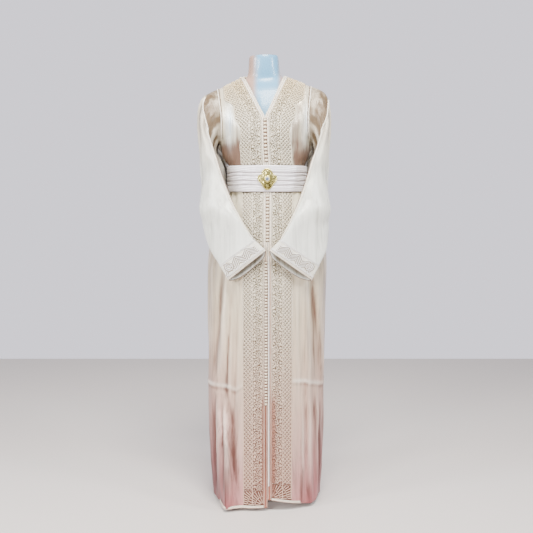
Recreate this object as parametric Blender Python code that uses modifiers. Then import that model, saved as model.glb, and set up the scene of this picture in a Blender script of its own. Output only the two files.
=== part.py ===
import math
import bpy

# Driving sizes, in metres

CLOTH = 0.0012
SLEEVE_CLOTH = 0.0010
SEAM_GAP = 0.00036
LIFT = 0.0003
TRIM_WIDTH = 0.0125
TRIM_THICK = 0.0013
CORD_RISE = 0.0009
PANEL_THICK = 0.0010
NECK_HALF_WIDTH = 0.0655
V_POINT_HEIGHT = 1.278
V_RUN_PER_RISE = 0.469
UPPER_SHIFT = -0.004
UPPER_ROLL = -0.020
SHOULDER_RISE = 0.030
BELT_TOP = 1.121
BELT_FOOT = 1.034
BELT_INSIDE = 0.0034
BUTTON_PITCH = 0.0114
BEAD_PITCH = 0.0100
BASE_RADIUS = 0.110
BASE_THICK = 0.010
POLE_RADIUS = 0.0125
FORM_FOOT = 0.760
BUST_RISE = 0.011

SIDES = {"right": -1.0, "left": 1.0}

# Gown below the armpit, one row a height
# Columns: height, half width right, half width left, front depth, back depth, squareness

BODY = [
    (0.000, 0.1830, 0.1805, 0.200, 0.176, 2.6),
    (0.009, 0.1835, 0.1810, 0.199, 0.175, 2.6),
    (0.045, 0.1870, 0.1840, 0.194, 0.172, 2.6),
    (0.095, 0.1915, 0.1865, 0.188, 0.168, 2.6),
    (0.160, 0.1965, 0.1885, 0.182, 0.165, 2.5),
    (0.235, 0.2005, 0.1895, 0.176, 0.161, 2.5),
    (0.310, 0.2033, 0.1910, 0.171, 0.157, 2.5),
    (0.365, 0.2037, 0.1918, 0.168, 0.154, 2.5),
    (0.383, 0.2040, 0.1923, 0.168, 0.154, 2.5),
    (0.400, 0.2034, 0.1924, 0.167, 0.153, 2.5),
    (0.470, 0.2025, 0.1945, 0.165, 0.150, 2.5),
    (0.550, 0.2018, 0.1968, 0.162, 0.147, 2.4),
    (0.630, 0.2018, 0.1982, 0.160, 0.144, 2.4),
    (0.710, 0.2028, 0.1995, 0.157, 0.141, 2.4),
    (0.780, 0.2038, 0.2015, 0.154, 0.137, 2.4),
    (0.840, 0.1990, 0.1975, 0.149, 0.131, 2.3),
    (0.895, 0.1860, 0.1850, 0.142, 0.124, 2.3),
    (0.945, 0.1690, 0.1690, 0.134, 0.115, 2.2),
    (0.985, 0.1530, 0.1530, 0.126, 0.106, 2.2),
    (1.034, 0.1280, 0.1280, 0.114, 0.094, 2.2),
    (1.078, 0.1270, 0.1270, 0.113, 0.093, 2.2),
    (1.121, 0.1285, 0.1285, 0.113, 0.094, 2.2),
    (1.152, 0.1435, 0.1435, 0.115, 0.096, 2.2),
    (1.190, 0.1500, 0.1500, 0.119, 0.098, 2.2),
]

# Gown from armpit to shoulder seam
# Columns: front centre height, front centre depth, back centre height, back centre depth,
# back neck half width, armhole half width, armhole height, armhole front depth,
# armhole back depth, embroidery half width

YOKE = [
    (1.190, 0.1190, 1.190, 0.098, 0.000, 0.1500, 1.1900, 0.0000, 0.0000, 0.0835),
    (1.212, 0.1205, 1.212, 0.101, 0.000, 0.1465, 1.1990, 0.0290, 0.0270, 0.0805),
    (1.234, 0.1200, 1.234, 0.103, 0.000, 0.1435, 1.2170, 0.0500, 0.0460, 0.0800),
    (1.256, 0.1180, 1.256, 0.104, 0.000, 0.1415, 1.2390, 0.0630, 0.0580, 0.0840),
    (1.278, 0.1130, 1.280, 0.104, 0.000, 0.1410, 1.2640, 0.0690, 0.0650, 0.0960),
    (1.306, 0.1045, 1.310, 0.103, 0.000, 0.1415, 1.2890, 0.0695, 0.0670, 0.1010),
    (1.334, 0.0940, 1.345, 0.100, 0.000, 0.1430, 1.3130, 0.0650, 0.0640, 0.1030),
    (1.362, 0.0830, 1.390, 0.092, 0.000, 0.1450, 1.3360, 0.0560, 0.0560, 0.1290),
    (1.390, 0.0690, 1.402, 0.086, 0.000, 0.1475, 1.3585, 0.0410, 0.0430, 0.1320),
    (1.418, 0.0480, 1.424, 0.070, 0.040, 0.1500, 1.3765, 0.0210, 0.0240, 0.1350),
    (1.450, -0.002, 1.450, 0.002, 0.0656, 0.1515, 1.3850, -0.0020, 0.0020, 0.1370),
]

# Folds of the skirt and bodice
# Columns: side, top x, top height, foot x, foot height, half width, depth (out is positive)

FRONT_FOLDS = [
    (-1, 0.099, 0.86, 0.111, 0.30, 0.014, -0.0050),
    (-1, 0.122, 0.84, 0.133, 0.34, 0.016, 0.0045),
    (-1, 0.178, 0.72, 0.148, 0.31, 0.020, -0.0060),
    (-1, 0.129, 0.33, 0.104, 0.00, 0.018, -0.0075),
    (-1, 0.140, 0.27, 0.121, 0.00, 0.025, 0.0500),
    (-1, 0.060, 0.20, 0.060, 0.00, 0.040, 0.0080),
    (-1, 0.172, 0.36, 0.158, 0.02, 0.018, -0.0050),
    (1, 0.094, 0.84, 0.098, 0.30, 0.014, -0.0045),
    (1, 0.118, 0.80, 0.132, 0.32, 0.016, 0.0045),
    (1, 0.144, 0.75, 0.176, 0.30, 0.020, -0.0060),
    (1, 0.116, 0.32, 0.118, 0.00, 0.018, -0.0060),
    (1, 0.150, 0.34, 0.142, 0.00, 0.018, 0.0060),
    (-1, 0.100, 1.03, 0.112, 0.86, 0.013, 0.0040),
    (-1, 0.122, 1.03, 0.150, 0.86, 0.014, -0.0040),
    (1, 0.100, 1.03, 0.112, 0.86, 0.013, 0.0040),
    (1, 0.122, 1.03, 0.150, 0.86, 0.014, -0.0040),
    (-1, 0.108, 1.235, 0.100, 1.13, 0.016, -0.0030),
    (1, 0.108, 1.235, 0.100, 1.13, 0.016, -0.0030),
]

BACK_FOLDS = [
    (-1, 0.030, 1.02, 0.034, 0.00, 0.020, -0.0070),
    (-1, 0.066, 1.02, 0.080, 0.00, 0.022, 0.0080),
    (-1, 0.096, 1.00, 0.122, 0.00, 0.022, -0.0070),
    (-1, 0.120, 0.98, 0.158, 0.00, 0.020, 0.0060),
    (1, 0.030, 1.02, 0.034, 0.00, 0.020, -0.0070),
    (1, 0.066, 1.02, 0.080, 0.00, 0.022, 0.0080),
    (1, 0.096, 1.00, 0.122, 0.00, 0.022, -0.0070),
    (1, 0.120, 0.98, 0.158, 0.00, 0.020, 0.0060),
]

# Height of the hem at a distance from the centre
# Columns: x, hem height

HEM_RIGHT = [(0.000, 0.0105), (0.060, 0.0100), (0.127, 0.0095), (0.160, 0.0100), (0.184, 0.0110)]
HEM_LEFT = [(0.000, 0.0370), (0.030, 0.0320), (0.058, 0.0270), (0.098, 0.0190), (0.126, 0.0130),
            (0.151, 0.0115), (0.182, 0.0125)]
HEM_BACK = 0.0130

# Sleeve stations from the armhole to the cuff, the right sleeve's shift added and the left's taken off
# Columns: fold x, y, z, fold shift, back x, y, z, back shift,
# outward bulge, its rise, its shift, inward bulge, its drop, its shift

SLEEVE = [
    (0.1600, -0.0750, 1.2850, 0.000, 0.1580, 0.0660, 1.2750, 0.000, 0.0270, 0.0900, 0.000, 0.0030, 0.0880, 0.000),
    (0.1740, -0.0830, 1.2720, 0.001, 0.1690, 0.0680, 1.2580, 0.001, 0.0350, 0.0870, 0.001, 0.0120, 0.0830, 0.000),
    (0.1840, -0.0880, 1.2520, 0.002, 0.1740, 0.0700, 1.2350, 0.001, 0.0380, 0.0790, 0.001, 0.0170, 0.0740, 0.000),
    (0.1870, -0.0920, 1.2280, 0.002, 0.1600, 0.0740, 1.2080, 0.001, 0.0465, 0.0650, 0.001, 0.0145, 0.0630, 0.000),
    (0.1800, -0.0970, 1.2030, 0.002, 0.1460, 0.0780, 1.1780, 0.001, 0.0570, 0.0470, 0.002, 0.0140, 0.0500, 0.000),
    (0.1700, -0.1030, 1.1720, 0.003, 0.1360, 0.0800, 1.1420, 0.002, 0.0660, 0.0300, 0.002, 0.0120, 0.0370, 0.001),
    (0.1580, -0.1100, 1.1360, 0.006, 0.1300, 0.0770, 1.1020, 0.003, 0.0710, 0.0160, 0.002, 0.0020, 0.0240, 0.004),
    (0.1440, -0.1195, 1.0900, 0.008, 0.1340, 0.0680, 1.0520, 0.004, 0.0740, 0.0070, 0.003, -0.0020, 0.0140, 0.006),
    (0.1280, -0.1310, 1.0420, 0.008, 0.1560, 0.0360, 1.0000, 0.005, 0.0720, 0.0000, 0.003, -0.0010, 0.0070, 0.006),
    (0.1090, -0.1440, 0.9960, 0.007, 0.1900, -0.0180, 0.9460, 0.005, 0.0620, 0.0000, 0.003, 0.0000, 0.0030, 0.003),
    (0.0880, -0.1550, 0.9530, 0.005, 0.2010, -0.0780, 0.8930, 0.003, 0.0320, 0.0000, 0.000, 0.0080, 0.0000, 0.000),
    (0.0650, -0.1650, 0.9110, 0.003, 0.1880, -0.1200, 0.8420, -0.003, 0.0140, 0.0000, 0.000, 0.0100, 0.0020, 0.000),
    (0.0430, -0.1720, 0.8800, 0.001, 0.1610, -0.1430, 0.7965, -0.006, 0.0098, 0.0000, 0.000, 0.0092, 0.0060, 0.000),
    (0.0240, -0.1755, 0.8620, 0.000, 0.1465, -0.1530, 0.7730, -0.007, 0.0095, 0.0000, 0.000, 0.0090, 0.0090, 0.000),
    (0.0068, -0.1780, 0.8450, 0.000, 0.1330, -0.1620, 0.7500, -0.008, 0.0095, 0.0000, 0.000, 0.0090, 0.0120, 0.000),
]

# Dress form rings. Columns: height, half width, front depth, back depth

FORM = [
    (0.760, 0.132, 0.092, 0.098), (0.766, 0.145, 0.101, 0.108), (0.790, 0.155, 0.107, 0.114),
    (0.850, 0.160, 0.110, 0.110), (0.920, 0.150, 0.106, 0.100), (1.000, 0.125, 0.098, 0.084),
    (1.075, 0.115, 0.097, 0.080), (1.135, 0.120, 0.101, 0.083), (1.190, 0.129, 0.108, 0.087),
    (1.228, 0.132, 0.110, 0.089), (1.275, 0.132, 0.102, 0.091), (1.315, 0.133, 0.090, 0.090),
    (1.350, 0.137, 0.078, 0.085), (1.3718, 0.139, 0.067, 0.080), (1.3852, 0.130, 0.057, 0.072),
    (1.3952, 0.109, 0.049, 0.063), (1.4035, 0.086, 0.0445, 0.056), (1.4126, 0.0645, 0.0408, 0.050),
    (1.424, 0.0550, 0.0430, 0.0495), (1.446, 0.0520, 0.0460, 0.051), (1.481, 0.0505, 0.0465, 0.051),
    (1.4870, 0.0475, 0.0435, 0.048),
]

# Pleats of the belt from its top edge down. Columns: height, rise over the belt's inside

BELT = [
    (1.1210, 0.0020), (1.1185, 0.0040), (1.1010, 0.0048), (1.0970, 0.0022), (1.0930, 0.0046),
    (1.0890, 0.0046), (1.0860, 0.0022), (1.0825, 0.0048), (1.0735, 0.0048), (1.0700, 0.0022),
    (1.0665, 0.0048), (1.0595, 0.0048), (1.0560, 0.0022), (1.0525, 0.0048), (1.0375, 0.0042),
    (1.0340, 0.0020),
]

# Colours. Columns: red, green, blue, roughness, metallic

COLOURS = {
    "satin": (0.74, 0.62, 0.55, 0.38, 0.0),
    "sleeve_satin": (0.76, 0.72, 0.67, 0.38, 0.0),
    "embroidery": (0.72, 0.66, 0.56, 0.60, 0.0),
    "cord": (0.82, 0.76, 0.66, 0.45, 0.0),
    "belt_satin": (0.80, 0.76, 0.78, 0.35, 0.0),
    "gilt": (0.80, 0.66, 0.30, 0.30, 1.0),
    "stone": (0.40, 0.46, 0.52, 0.10, 0.0),
    "form_gloss": (0.80, 0.84, 0.88, 0.18, 0.0),
    "steel": (0.62, 0.62, 0.63, 0.35, 1.0),
    "button": (0.84, 0.77, 0.64, 0.40, 0.0),
}

for old in list(bpy.data.objects):
    bpy.data.objects.remove(old, do_unlink=True)

part_collection = bpy.data.collections.new("takchita_on_dress_form")
bpy.context.scene.collection.children.link(part_collection)


def add(a, b):
    return (a[0] + b[0], a[1] + b[1], a[2] + b[2])


def sub(a, b):
    return (a[0] - b[0], a[1] - b[1], a[2] - b[2])


def mul(a, k):
    return (a[0] * k, a[1] * k, a[2] * k)


def cross(a, b):
    return (a[1] * b[2] - a[2] * b[1], a[2] * b[0] - a[0] * b[2], a[0] * b[1] - a[1] * b[0])


def dot(a, b):
    return a[0] * b[0] + a[1] * b[1] + a[2] * b[2]


def unit(a):
    size = math.sqrt(dot(a, a))
    return mul(a, 1.0 / size) if size > 1e-12 else (0.0, 0.0, 1.0)


def key(point):
    return (round(point[0], 6), round(point[1], 6), round(point[2], 6))


def ramp(value, low, high):
    share = min(1.0, max(0.0, (value - low) / (high - low)))
    return share * share * (3.0 - 2.0 * share)


def read_table(table, x):
    if x <= table[0][0]:
        return table[0][1]
    for here, after in zip(table, table[1:]):
        if x <= after[0]:
            share = (x - here[0]) / (after[0] - here[0])
            return here[1] + share * (after[1] - here[1])
    return table[-1][1]


def lean(point):
    """The stance: the shoulders sit a little to the wearer's right of the skirt."""
    x, y, z = point
    upper = ramp(z, 1.04, 1.20)
    across = UPPER_SHIFT * upper + UPPER_ROLL * max(0.0, z - 1.05) * upper
    return (x + across, y, z + SHOULDER_RISE * x * ramp(z, 1.15, 1.36))


def material(name):
    made = bpy.data.materials.get(name)
    if made:
        return made
    red, green, blue, rough, metal = COLOURS[name]
    made = bpy.data.materials.new(name)
    made.use_nodes = True
    shader = made.node_tree.nodes["Principled BSDF"]
    shader.inputs["Base Color"].default_value = (red, green, blue, 1.0)
    shader.inputs["Roughness"].default_value = rough
    shader.inputs["Metallic"].default_value = metal
    made.diffuse_color = (red, green, blue, 1.0)
    return made


def place(name, points, faces, colour):
    """One named solid from its points and outward faces."""
    mesh = bpy.data.meshes.new(name)
    mesh.from_pydata(points, [], faces)
    mesh.materials.append(material(colour))
    mesh.update()
    built = bpy.data.objects.new(name, mesh)
    part_collection.objects.link(built)
    return built


# Gown surface: rings below the armpit, a yoke above it

def fold_depth(folds, side, x, z):
    total = 0.0
    for which, top_x, top_z, foot_x, foot_z, half, depth in folds:
        if which != side or z > top_z + 0.03 or z < foot_z - 0.02:
            continue
        share = (top_z - z) / (top_z - foot_z)
        centre = top_x + share * (foot_x - top_x)
        ends = ramp(top_z + 0.03 - z, 0.0, 0.10) * (1.0 if foot_z < 0.03 else ramp(z - foot_z + 0.02, 0.0, 0.10))
        total += depth * ends * math.exp(-((x - centre) / half) ** 2)
    return total


def body_row(index, side):
    height, right, left, front, back, square = BODY[index]
    return height, (right if side < 0 else left), front, back, square


EMBROIDERY_BELOW = [(0.0, 0.078), (0.30, 0.080), (0.70, 0.082), (1.034, 0.083), (1.19, 0.0835)]
CENTRE_COLUMNS = [0.20, 0.40, 0.60, 0.80, 1.0]
SIDE_COLUMNS = 8
TRIM_COLUMN = 2


def front_columns(inner, edge, outer, square, turned):
    """Distances from the centre: trim, embroidery, then the open side of the panel."""
    row = [inner, inner + TRIM_WIDTH / 2, inner + TRIM_WIDTH]
    start = inner + TRIM_WIDTH
    for share in CENTRE_COLUMNS:
        row.append(start + share * (edge - start))
    first = math.asin(min(1.0, (edge / outer) ** (square / 2.0)))
    for step in range(1, SIDE_COLUMNS + 1):
        share = step / SIDE_COLUMNS
        angle = first + share * (math.pi / 2 - first)
        curved = outer * math.sin(angle) ** (2.0 / square)
        straight = edge + share * (outer - edge)
        row.append(curved + turned * (straight - curved))
    row[-1] = outer
    return row


def bust_rise(x, z, share):
    return BUST_RISE * math.exp(-((x - 0.070) / 0.046) ** 2 - ((z - 1.232) / 0.044) ** 2) * (1.0 - share ** 4)


def hem_lift(side, x, z, front):
    if z >= 0.30:
        return 0.0
    if front:
        hem = read_table(HEM_RIGHT if side < 0 else HEM_LEFT, x)
    else:
        edge = HEM_RIGHT[-1][1] if side < 0 else HEM_LEFT[-1][1]
        hem = HEM_BACK + (edge - HEM_BACK) * min(1.0, x / 0.18) ** 3
    return hem * (1.0 - z / 0.30)


def ring_point(index, side, x, front):
    height, half, ahead, behind, square = body_row(index, side)
    depth = ahead if front else behind
    share = min(1.0, x / half)
    reach = depth * max(0.0, 1.0 - share ** square) ** (1.0 / square)
    slope = share ** (square - 1.0)
    outward = unit((0.3 * slope / half, max(1e-6, (reach / depth)) ** (square - 1.0) / depth, 0.0))
    fade = 1.0 if x < half * 0.97 else 0.0
    push = fold_depth(FRONT_FOLDS if front else BACK_FOLDS, side, x, height) * fade
    lifted = height + hem_lift(side, x, height, front)
    y = reach + push * outward[1] + (bust_rise(x, height, share) if front else 0.0)
    return (side * (x + push * outward[0]), -y if front else y, lifted)


def yoke_point(index, side, x, front):
    row = YOKE[index]
    centre_z, centre_y = (row[0], row[1]) if front else (row[2], row[3])
    outer, outer_z = row[5], row[6]
    outer_y = row[7] if front else row[8]
    share = min(1.0, x / outer)
    power = 0.5 + 0.5 * ramp(index, 0, 3)
    span = max(0.0, 1.0 - share ** 2.2) ** (power if index else 1.0 / 2.2)
    z = centre_z + (outer_z - centre_z) * share
    bust = bust_rise(x, z, share) if front else 0.0
    y = outer_y + (centre_y - outer_y) * span + bust
    push = fold_depth(FRONT_FOLDS, side, x, z) if front and share < 0.97 else 0.0
    y += push
    return (side * x, -y if front else y, z)


def neck_x(index):
    row = YOKE[index]
    if row[0] <= V_POINT_HEIGHT + 1e-9:
        return 0.0
    return (row[0] - V_POINT_HEIGHT) / (1.0 / V_RUN_PER_RISE + (row[0] - row[6]) / row[5])


def front_grid(side):
    rows = []
    for index in range(len(BODY) - 1):
        height, half, ahead, behind, square = body_row(index, side)
        edge = read_table(EMBROIDERY_BELOW, height)
        rows.append([lean(ring_point(index, side, x, True))
                     for x in front_columns(0.0, edge, half, square, 0.0)])
    for index in range(len(YOKE)):
        row = YOKE[index]
        turned = ramp(index, 0, 3)
        across = front_columns(neck_x(index), row[9], row[5], 2.2, turned)
        if index == 0:
            rows.append([lean(ring_point(len(BODY) - 1, side, x, True)) for x in across])
        else:
            rows.append([lean(yoke_point(index, side, x, True)) for x in across])
    return rows


BACK_COLUMNS = 9
NECK_ROW = 7
BACK_TRIM_WIDTH = 0.0165


def back_grid(side):
    rows = []
    for index in range(len(BODY)):
        height, half, ahead, behind, square = body_row(index, side)
        row = []
        for step in range(BACK_COLUMNS + 1):
            x = half * math.sin(math.pi / 2 * step / BACK_COLUMNS) ** (2.0 / square)
            row.append(lean(ring_point(index, side, half if step == BACK_COLUMNS else x, False)))
        rows.append(row)
    for index in range(1, len(YOKE)):
        inner, outer = YOKE[index][4], YOKE[index][5]
        if index == len(YOKE) - 1:
            inner = neck_x(index)
        row = []
        for step in range(BACK_COLUMNS + 1):
            share = step / BACK_COLUMNS
            straight = inner + share * (outer - inner)
            curved = outer * math.sin(math.pi / 2 * share) ** (2.0 / 2.2)
            x = curved + ramp(index, 0, 3) * (straight - curved)
            if index >= NECK_ROW and step:
                first = inner + BACK_TRIM_WIDTH
                x = first + (step - 1) / (BACK_COLUMNS - 1) * (outer - first)
            row.append(lean(yoke_point(index, side, x, False)))
        rows.append(row)
    return rows


def quads(grid, flip):
    """Grid rows to quads that face out of the gown."""
    faces = []
    for below, above in zip(grid, grid[1:]):
        for col in range(len(below) - 1):
            face = [below[col], below[col + 1], above[col + 1], above[col]]
            faces.append(face[::-1] if flip else face)
    return faces


def part_of(grid, row_from, row_to, col_from, col_to):
    return [row[col_from:col_to + 1] for row in grid[row_from:row_to + 1]]


FRONT = {name: front_grid(side) for name, side in SIDES.items()}
BACK = {name: back_grid(side) for name, side in SIDES.items()}
ARMPIT_ROW = len(BODY) - 1
SHOULDER_ROW = len(FRONT["right"]) - 1
HALF_LOOP = len(YOKE) - 1
LAST = len(FRONT["right"][0]) - 1

# The two panels share one shoulder seam and one side seam

for name in SIDES:
    for row in range(ARMPIT_ROW + 1):
        BACK[name][row][-1] = FRONT[name][row][-1]


def armhole_loop(name):
    """Twenty points: front fold, over the shoulder to the back fold, under the arm and home."""
    front = [FRONT[name][ARMPIT_ROW + step][-1] for step in range(HALF_LOOP + 1)]
    back = [BACK[name][ARMPIT_ROW + step][-1] for step in range(HALF_LOOP + 1)]
    back[-1] = front[-1]
    middle = HALF_LOOP // 2
    upper = front[middle:] + back[middle:-1][::-1]
    lower = back[1:middle][::-1] + front[:middle]
    return upper + lower


for name in SIDES:
    for grid in (BACK[name],):
        grid[SHOULDER_ROW][-1] = FRONT[name][SHOULDER_ROW][-1]


def sleeve_rings(name, side):
    rings = [armhole_loop(name)]
    for (fx, fy, fz, fs, bx, by, bz, bs, out, rise, out_shift, inward, drop, in_shift) in SLEEVE:
        fold = (side * (fx - side * fs), fy, fz)
        back = (side * (bx - side * bs), by, bz)
        middle = mul(add(fold, back), 0.5)
        across = sub(back, fold)
        away = unit((side * across[1], -side * across[0], 0.0))
        if away[0] * side < 0:
            away = mul(away, -1.0)
        outer = add(mul(away, out - side * out_shift), (0.0, 0.0, rise))
        inner = add(mul(away, side * in_shift - inward), (0.0, 0.0, -drop))
        ring = []
        for step in range(2 * HALF_LOOP):
            upper = step <= HALF_LOOP
            angle = math.pi * (step if upper else 2 * HALF_LOOP - step) / HALF_LOOP
            along = -math.cos(angle)
            bulge = math.sqrt(max(0.0, 1.0 - along * along))
            base = add(middle, mul(across, 0.5 * along))
            ring.append(lean(add(base, mul(outer if upper else inner, bulge))))
        rings.append(ring)
    return rings


RINGS = {name: sleeve_rings(name, side) for name, side in SIDES.items()}


def ring_quads(rings, flip, first=0, count=None):
    faces = []
    size = len(rings[0])
    for near, far in zip(rings, rings[1:]):
        for step in range(first, first + (size if count is None else count)):
            here, after = step % size, (step + 1) % size
            face = [near[here], far[here], far[after], near[after]]
            faces.append(face[::-1] if flip else face)
    return faces


SHEETS = {}
for name, side in SIDES.items():
    SHEETS["front_" + name] = quads(FRONT[name], side < 0)
    SHEETS["sleeve_" + name] = ring_quads(RINGS[name], side < 0)
SHEETS["back"] = quads(BACK["right"], False) + quads(BACK["left"], True)

# One normal a point, shared by every piece that meets there

NORMALS = {}
for faces in SHEETS.values():
    for face in faces:
        facing = cross(sub(face[2], face[0]), sub(face[3], face[1]))
        for point in face:
            NORMALS[key(point)] = add(NORMALS.get(key(point), (0.0, 0.0, 0.0)), facing)
NORMALS = {point: unit(total) for point, total in NORMALS.items()}
for name in SIDES:
    seam = FRONT[name][SHOULDER_ROW]
    run = sub(seam[-1], seam[0])
    upright = unit((-run[2] * math.copysign(1.0, run[0]), 0.0, abs(run[0])))
    for point in seam[:-1] + BACK[name][SHOULDER_ROW][:-1]:
        NORMALS[key(point)] = upright


def normal_at(point):
    return NORMALS[key(point)]


def halves(loop, points):
    """A quad as two triangles, cut on the same diagonal in every piece that uses it."""
    first = sub(points[loop[0]], points[loop[2]])
    second = sub(points[loop[1]], points[loop[3]])
    if dot(first, first) < dot(second, second) - 1e-9:
        return [[loop[0], loop[1], loop[2]], [loop[0], loop[2], loop[3]]]
    return [[loop[0], loop[1], loop[3]], [loop[1], loop[2], loop[3]]]


def shell(name, faces, low, high, colour, rises=None, pull=SEAM_GAP / 2, normals=None):
    """Closed solid between two offsets of a sheet, drawn back a little at its edges."""
    index, points, solid_faces = {}, [], []
    for face in faces:
        for point in face:
            if key(point) not in index:
                index[key(point)] = len(points)
                points.append(point)
    loops = []
    for face in faces:
        loop = []
        for point in face:
            number = index[key(point)]
            if not loop or number != loop[-1]:
                loop.append(number)
        if loop[0] == loop[-1]:
            loop.pop()
        if len(loop) == 4:
            loops += halves(loop, points)
        elif len(loop) == 3:
            loops.append(loop)
    edges = {}
    for loop in loops:
        facing = unit(cross(sub(points[loop[1]], points[loop[0]]), sub(points[loop[2]], points[loop[0]])))
        for here, after in zip(loop, loop[1:] + loop[:1]):
            edges[(here, after)] = facing
    border = [edge for edge in edges if (edge[1], edge[0]) not in edges]
    draw = {}
    for here, after in border:
        inward = unit(cross(edges[(here, after)], sub(points[after], points[here])))
        for number in (here, after):
            draw.setdefault(number, []).append(inward)
    shift = {}
    for number, ways in draw.items():
        total = (0.0, 0.0, 0.0)
        for way in ways:
            total = add(total, way)
        share = dot(unit(total), ways[0])
        shift[number] = mul(unit(total), pull / max(0.5, share))
    outer, inner = [], []
    for number, point in enumerate(points):
        facing = (normals or NORMALS)[key(point)]
        rise = rises.get(key(point), 0.0) if rises else 0.0
        base = add(point, shift.get(number, (0.0, 0.0, 0.0)))
        outer.append(add(base, mul(facing, high + rise)))
        inner.append(add(base, mul(facing, low)))
    count = len(points)
    for loop in loops:
        solid_faces.append(loop)
        solid_faces.append([number + count for number in reversed(loop)])
    for here, after in border:
        solid_faces.append([after, here, here + count, after + count])
    return place(name, outer + inner, solid_faces, colour)


# Cut pieces of the gown

for name, side in SIDES.items():
    shell("front_" + name, SHEETS["front_" + name], -CLOTH, 0.0, "satin")
    shell("sleeve_" + name, SHEETS["sleeve_" + name], -SLEEVE_CLOTH, 0.0, "sleeve_satin", pull=SEAM_GAP)
shell("back", SHEETS["back"], -CLOTH, 0.0, "satin")

# Corded edge trims, from the shoulder down the V and the whole front edge

TRIM_TOP = LIFT + TRIM_THICK
for name, side in SIDES.items():
    strip = part_of(FRONT[name], 0, SHOULDER_ROW, 0, TRIM_COLUMN)
    rises = {key(row[1]): CORD_RISE for row in strip}
    shell("edge_trim_" + name, quads(strip, side < 0), LIFT, TRIM_TOP, "cord", rises)

# Back neck trim, a narrow band below the back neckline

neck_faces = []
for name, side in SIDES.items():
    neck_faces += quads(part_of(BACK[name], ARMPIT_ROW + NECK_ROW, SHOULDER_ROW, 0, 1), side > 0)
shell("back_neck_trim", neck_faces, LIFT, TRIM_TOP, "cord")

# Embroidered panels, between the edge trim and the plain side

EDGE_COLUMN = TRIM_COLUMN + len(CENTRE_COLUMNS)
BELT_ROW = next(row for row, line in enumerate(BODY) if line[0] == BELT_TOP)
BELT_FOOT_ROW = next(row for row, line in enumerate(BODY) if line[0] == BELT_FOOT)
for name, side in SIDES.items():
    chest = part_of(FRONT[name], BELT_ROW, SHOULDER_ROW, TRIM_COLUMN, EDGE_COLUMN)
    shell("chest_embroidery_" + name, quads(chest, side < 0), LIFT, LIFT + PANEL_THICK, "embroidery")
    skirt = part_of(FRONT[name], 1, BELT_FOOT_ROW, TRIM_COLUMN, EDGE_COLUMN)
    shell("skirt_embroidery_" + name, quads(skirt, side < 0), LIFT, LIFT + PANEL_THICK, "embroidery")
    tape = part_of(FRONT[name], 0, 1, TRIM_COLUMN, EDGE_COLUMN + (4 if side < 0 else 3))
    shell("hem_tape_" + name, quads(tape, side < 0), LIFT, LIFT + PANEL_THICK, "cord")

# Cuff bands and the cord at the cuff edge

CUFF_FROM = len(RINGS["right"]) - 3
for name, side in SIDES.items():
    band = RINGS[name][CUFF_FROM:]
    near, last = band[-2], band[-1]
    cut = [add(mul(a, 0.30), mul(b, 0.70)) for a, b in zip(near, last)]
    for spot, a, b in zip(cut, near, last):
        NORMALS[key(spot)] = unit(add(mul(normal_at(a), 0.30), mul(normal_at(b), 0.70)))
    shell("cuff_band_" + name, ring_quads([band[0], near, cut], side < 0), LIFT, LIFT + PANEL_THICK,
          "embroidery")
    middle = [mul(add(a, b), 0.5) for a, b in zip(cut, last)]
    rises = {}
    for spot, a, b in zip(middle, cut, last):
        NORMALS[key(spot)] = unit(add(normal_at(a), normal_at(b)))
        rises[key(spot)] = CORD_RISE
    shell("cuff_cord_" + name, ring_quads([cut, middle, last], side < 0), LIFT, LIFT + PANEL_THICK, "cord",
          rises)


def cord(name, path, radius, colour, sides=6):
    """A round cord along a path, its ends closed flat."""
    points, faces = [], []
    for number, spot in enumerate(path):
        before = path[max(0, number - 1)]
        after = path[min(len(path) - 1, number + 1)]
        along = unit(sub(after, before))
        wide = unit(cross(along, (0.0, 1.0, 0.0)))
        tall = cross(wide, along)
        for step in range(sides):
            angle = 2 * math.pi * step / sides
            points.append(add(spot, add(mul(wide, radius * math.cos(angle)),
                                        mul(tall, radius * math.sin(angle)))))
    for number in range(len(path) - 1):
        for step in range(sides):
            here, after = number * sides + step, number * sides + (step + 1) % sides
            faces.append([here, here + sides, after + sides, after])
    faces.append(list(range(sides)))
    faces.append([len(points) - 1 - step for step in range(sides)])
    return place(name, points, faces, colour)


for name, side in SIDES.items():
    path = []
    for ring in RINGS[name][2:CUFF_FROM + 1]:
        spot = ring[0]
        facing = normal_at(spot)
        path.append(add(spot, mul(facing, LIFT + 0.0013)))
    last, before = path[-1], path[-2]
    path[-1] = add(last, mul(unit(sub(before, last)), 0.0015))
    cord("sleeve_piping_" + name, path, 0.0011, "cord")

# Button rows: a narrow tape over the two edge trims, raised once for each button


def centre_line(z, name="right"):
    """Front edge of a panel at a height."""
    points = [row[0] for row in FRONT[name]]
    for here, after in zip(points, points[1:]):
        if here[2] <= z <= after[2]:
            share = (z - here[2]) / (after[2] - here[2])
            return add(here, mul(sub(after, here), share))
    return points[0]


def button_row(name, top, foot, pitch, half, across, rise):
    count = int(round((top - foot) / pitch))
    step = (top - foot) / count
    heights = []
    for number in range(count):
        z = top - number * step
        heights += [(z, 0.0), (z - 0.5 * step, rise)]
    heights.append((foot, 0.0))
    base = TRIM_TOP + CORD_RISE + LIFT
    points, faces = [], []
    for z, lift in heights:
        spot = centre_line(z)
        above, below = centre_line(z + 0.006), centre_line(z - 0.006)
        run = sub(above, below)
        facing = unit((0.0, -run[2], run[1]))
        wide = half * (1.0 if lift else 0.55)
        for x, out in ((-wide, 0.0), (0.0, 0.0012 + lift), (wide, 0.0)):
            points.append(add(add(spot, (x + across, 0.0, 0.0)), mul(facing, base + out)))
    rows = len(heights)
    for number in range(rows - 1):
        for side in range(3):
            here, after = number * 3 + side, number * 3 + (side + 1) % 3
            faces.append([here, here + 3, after + 3, after])
    faces.append([0, 1, 2])
    faces.append([(rows - 1) * 3 + number for number in (2, 1, 0)])
    return place(name, points, faces, "button")


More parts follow.
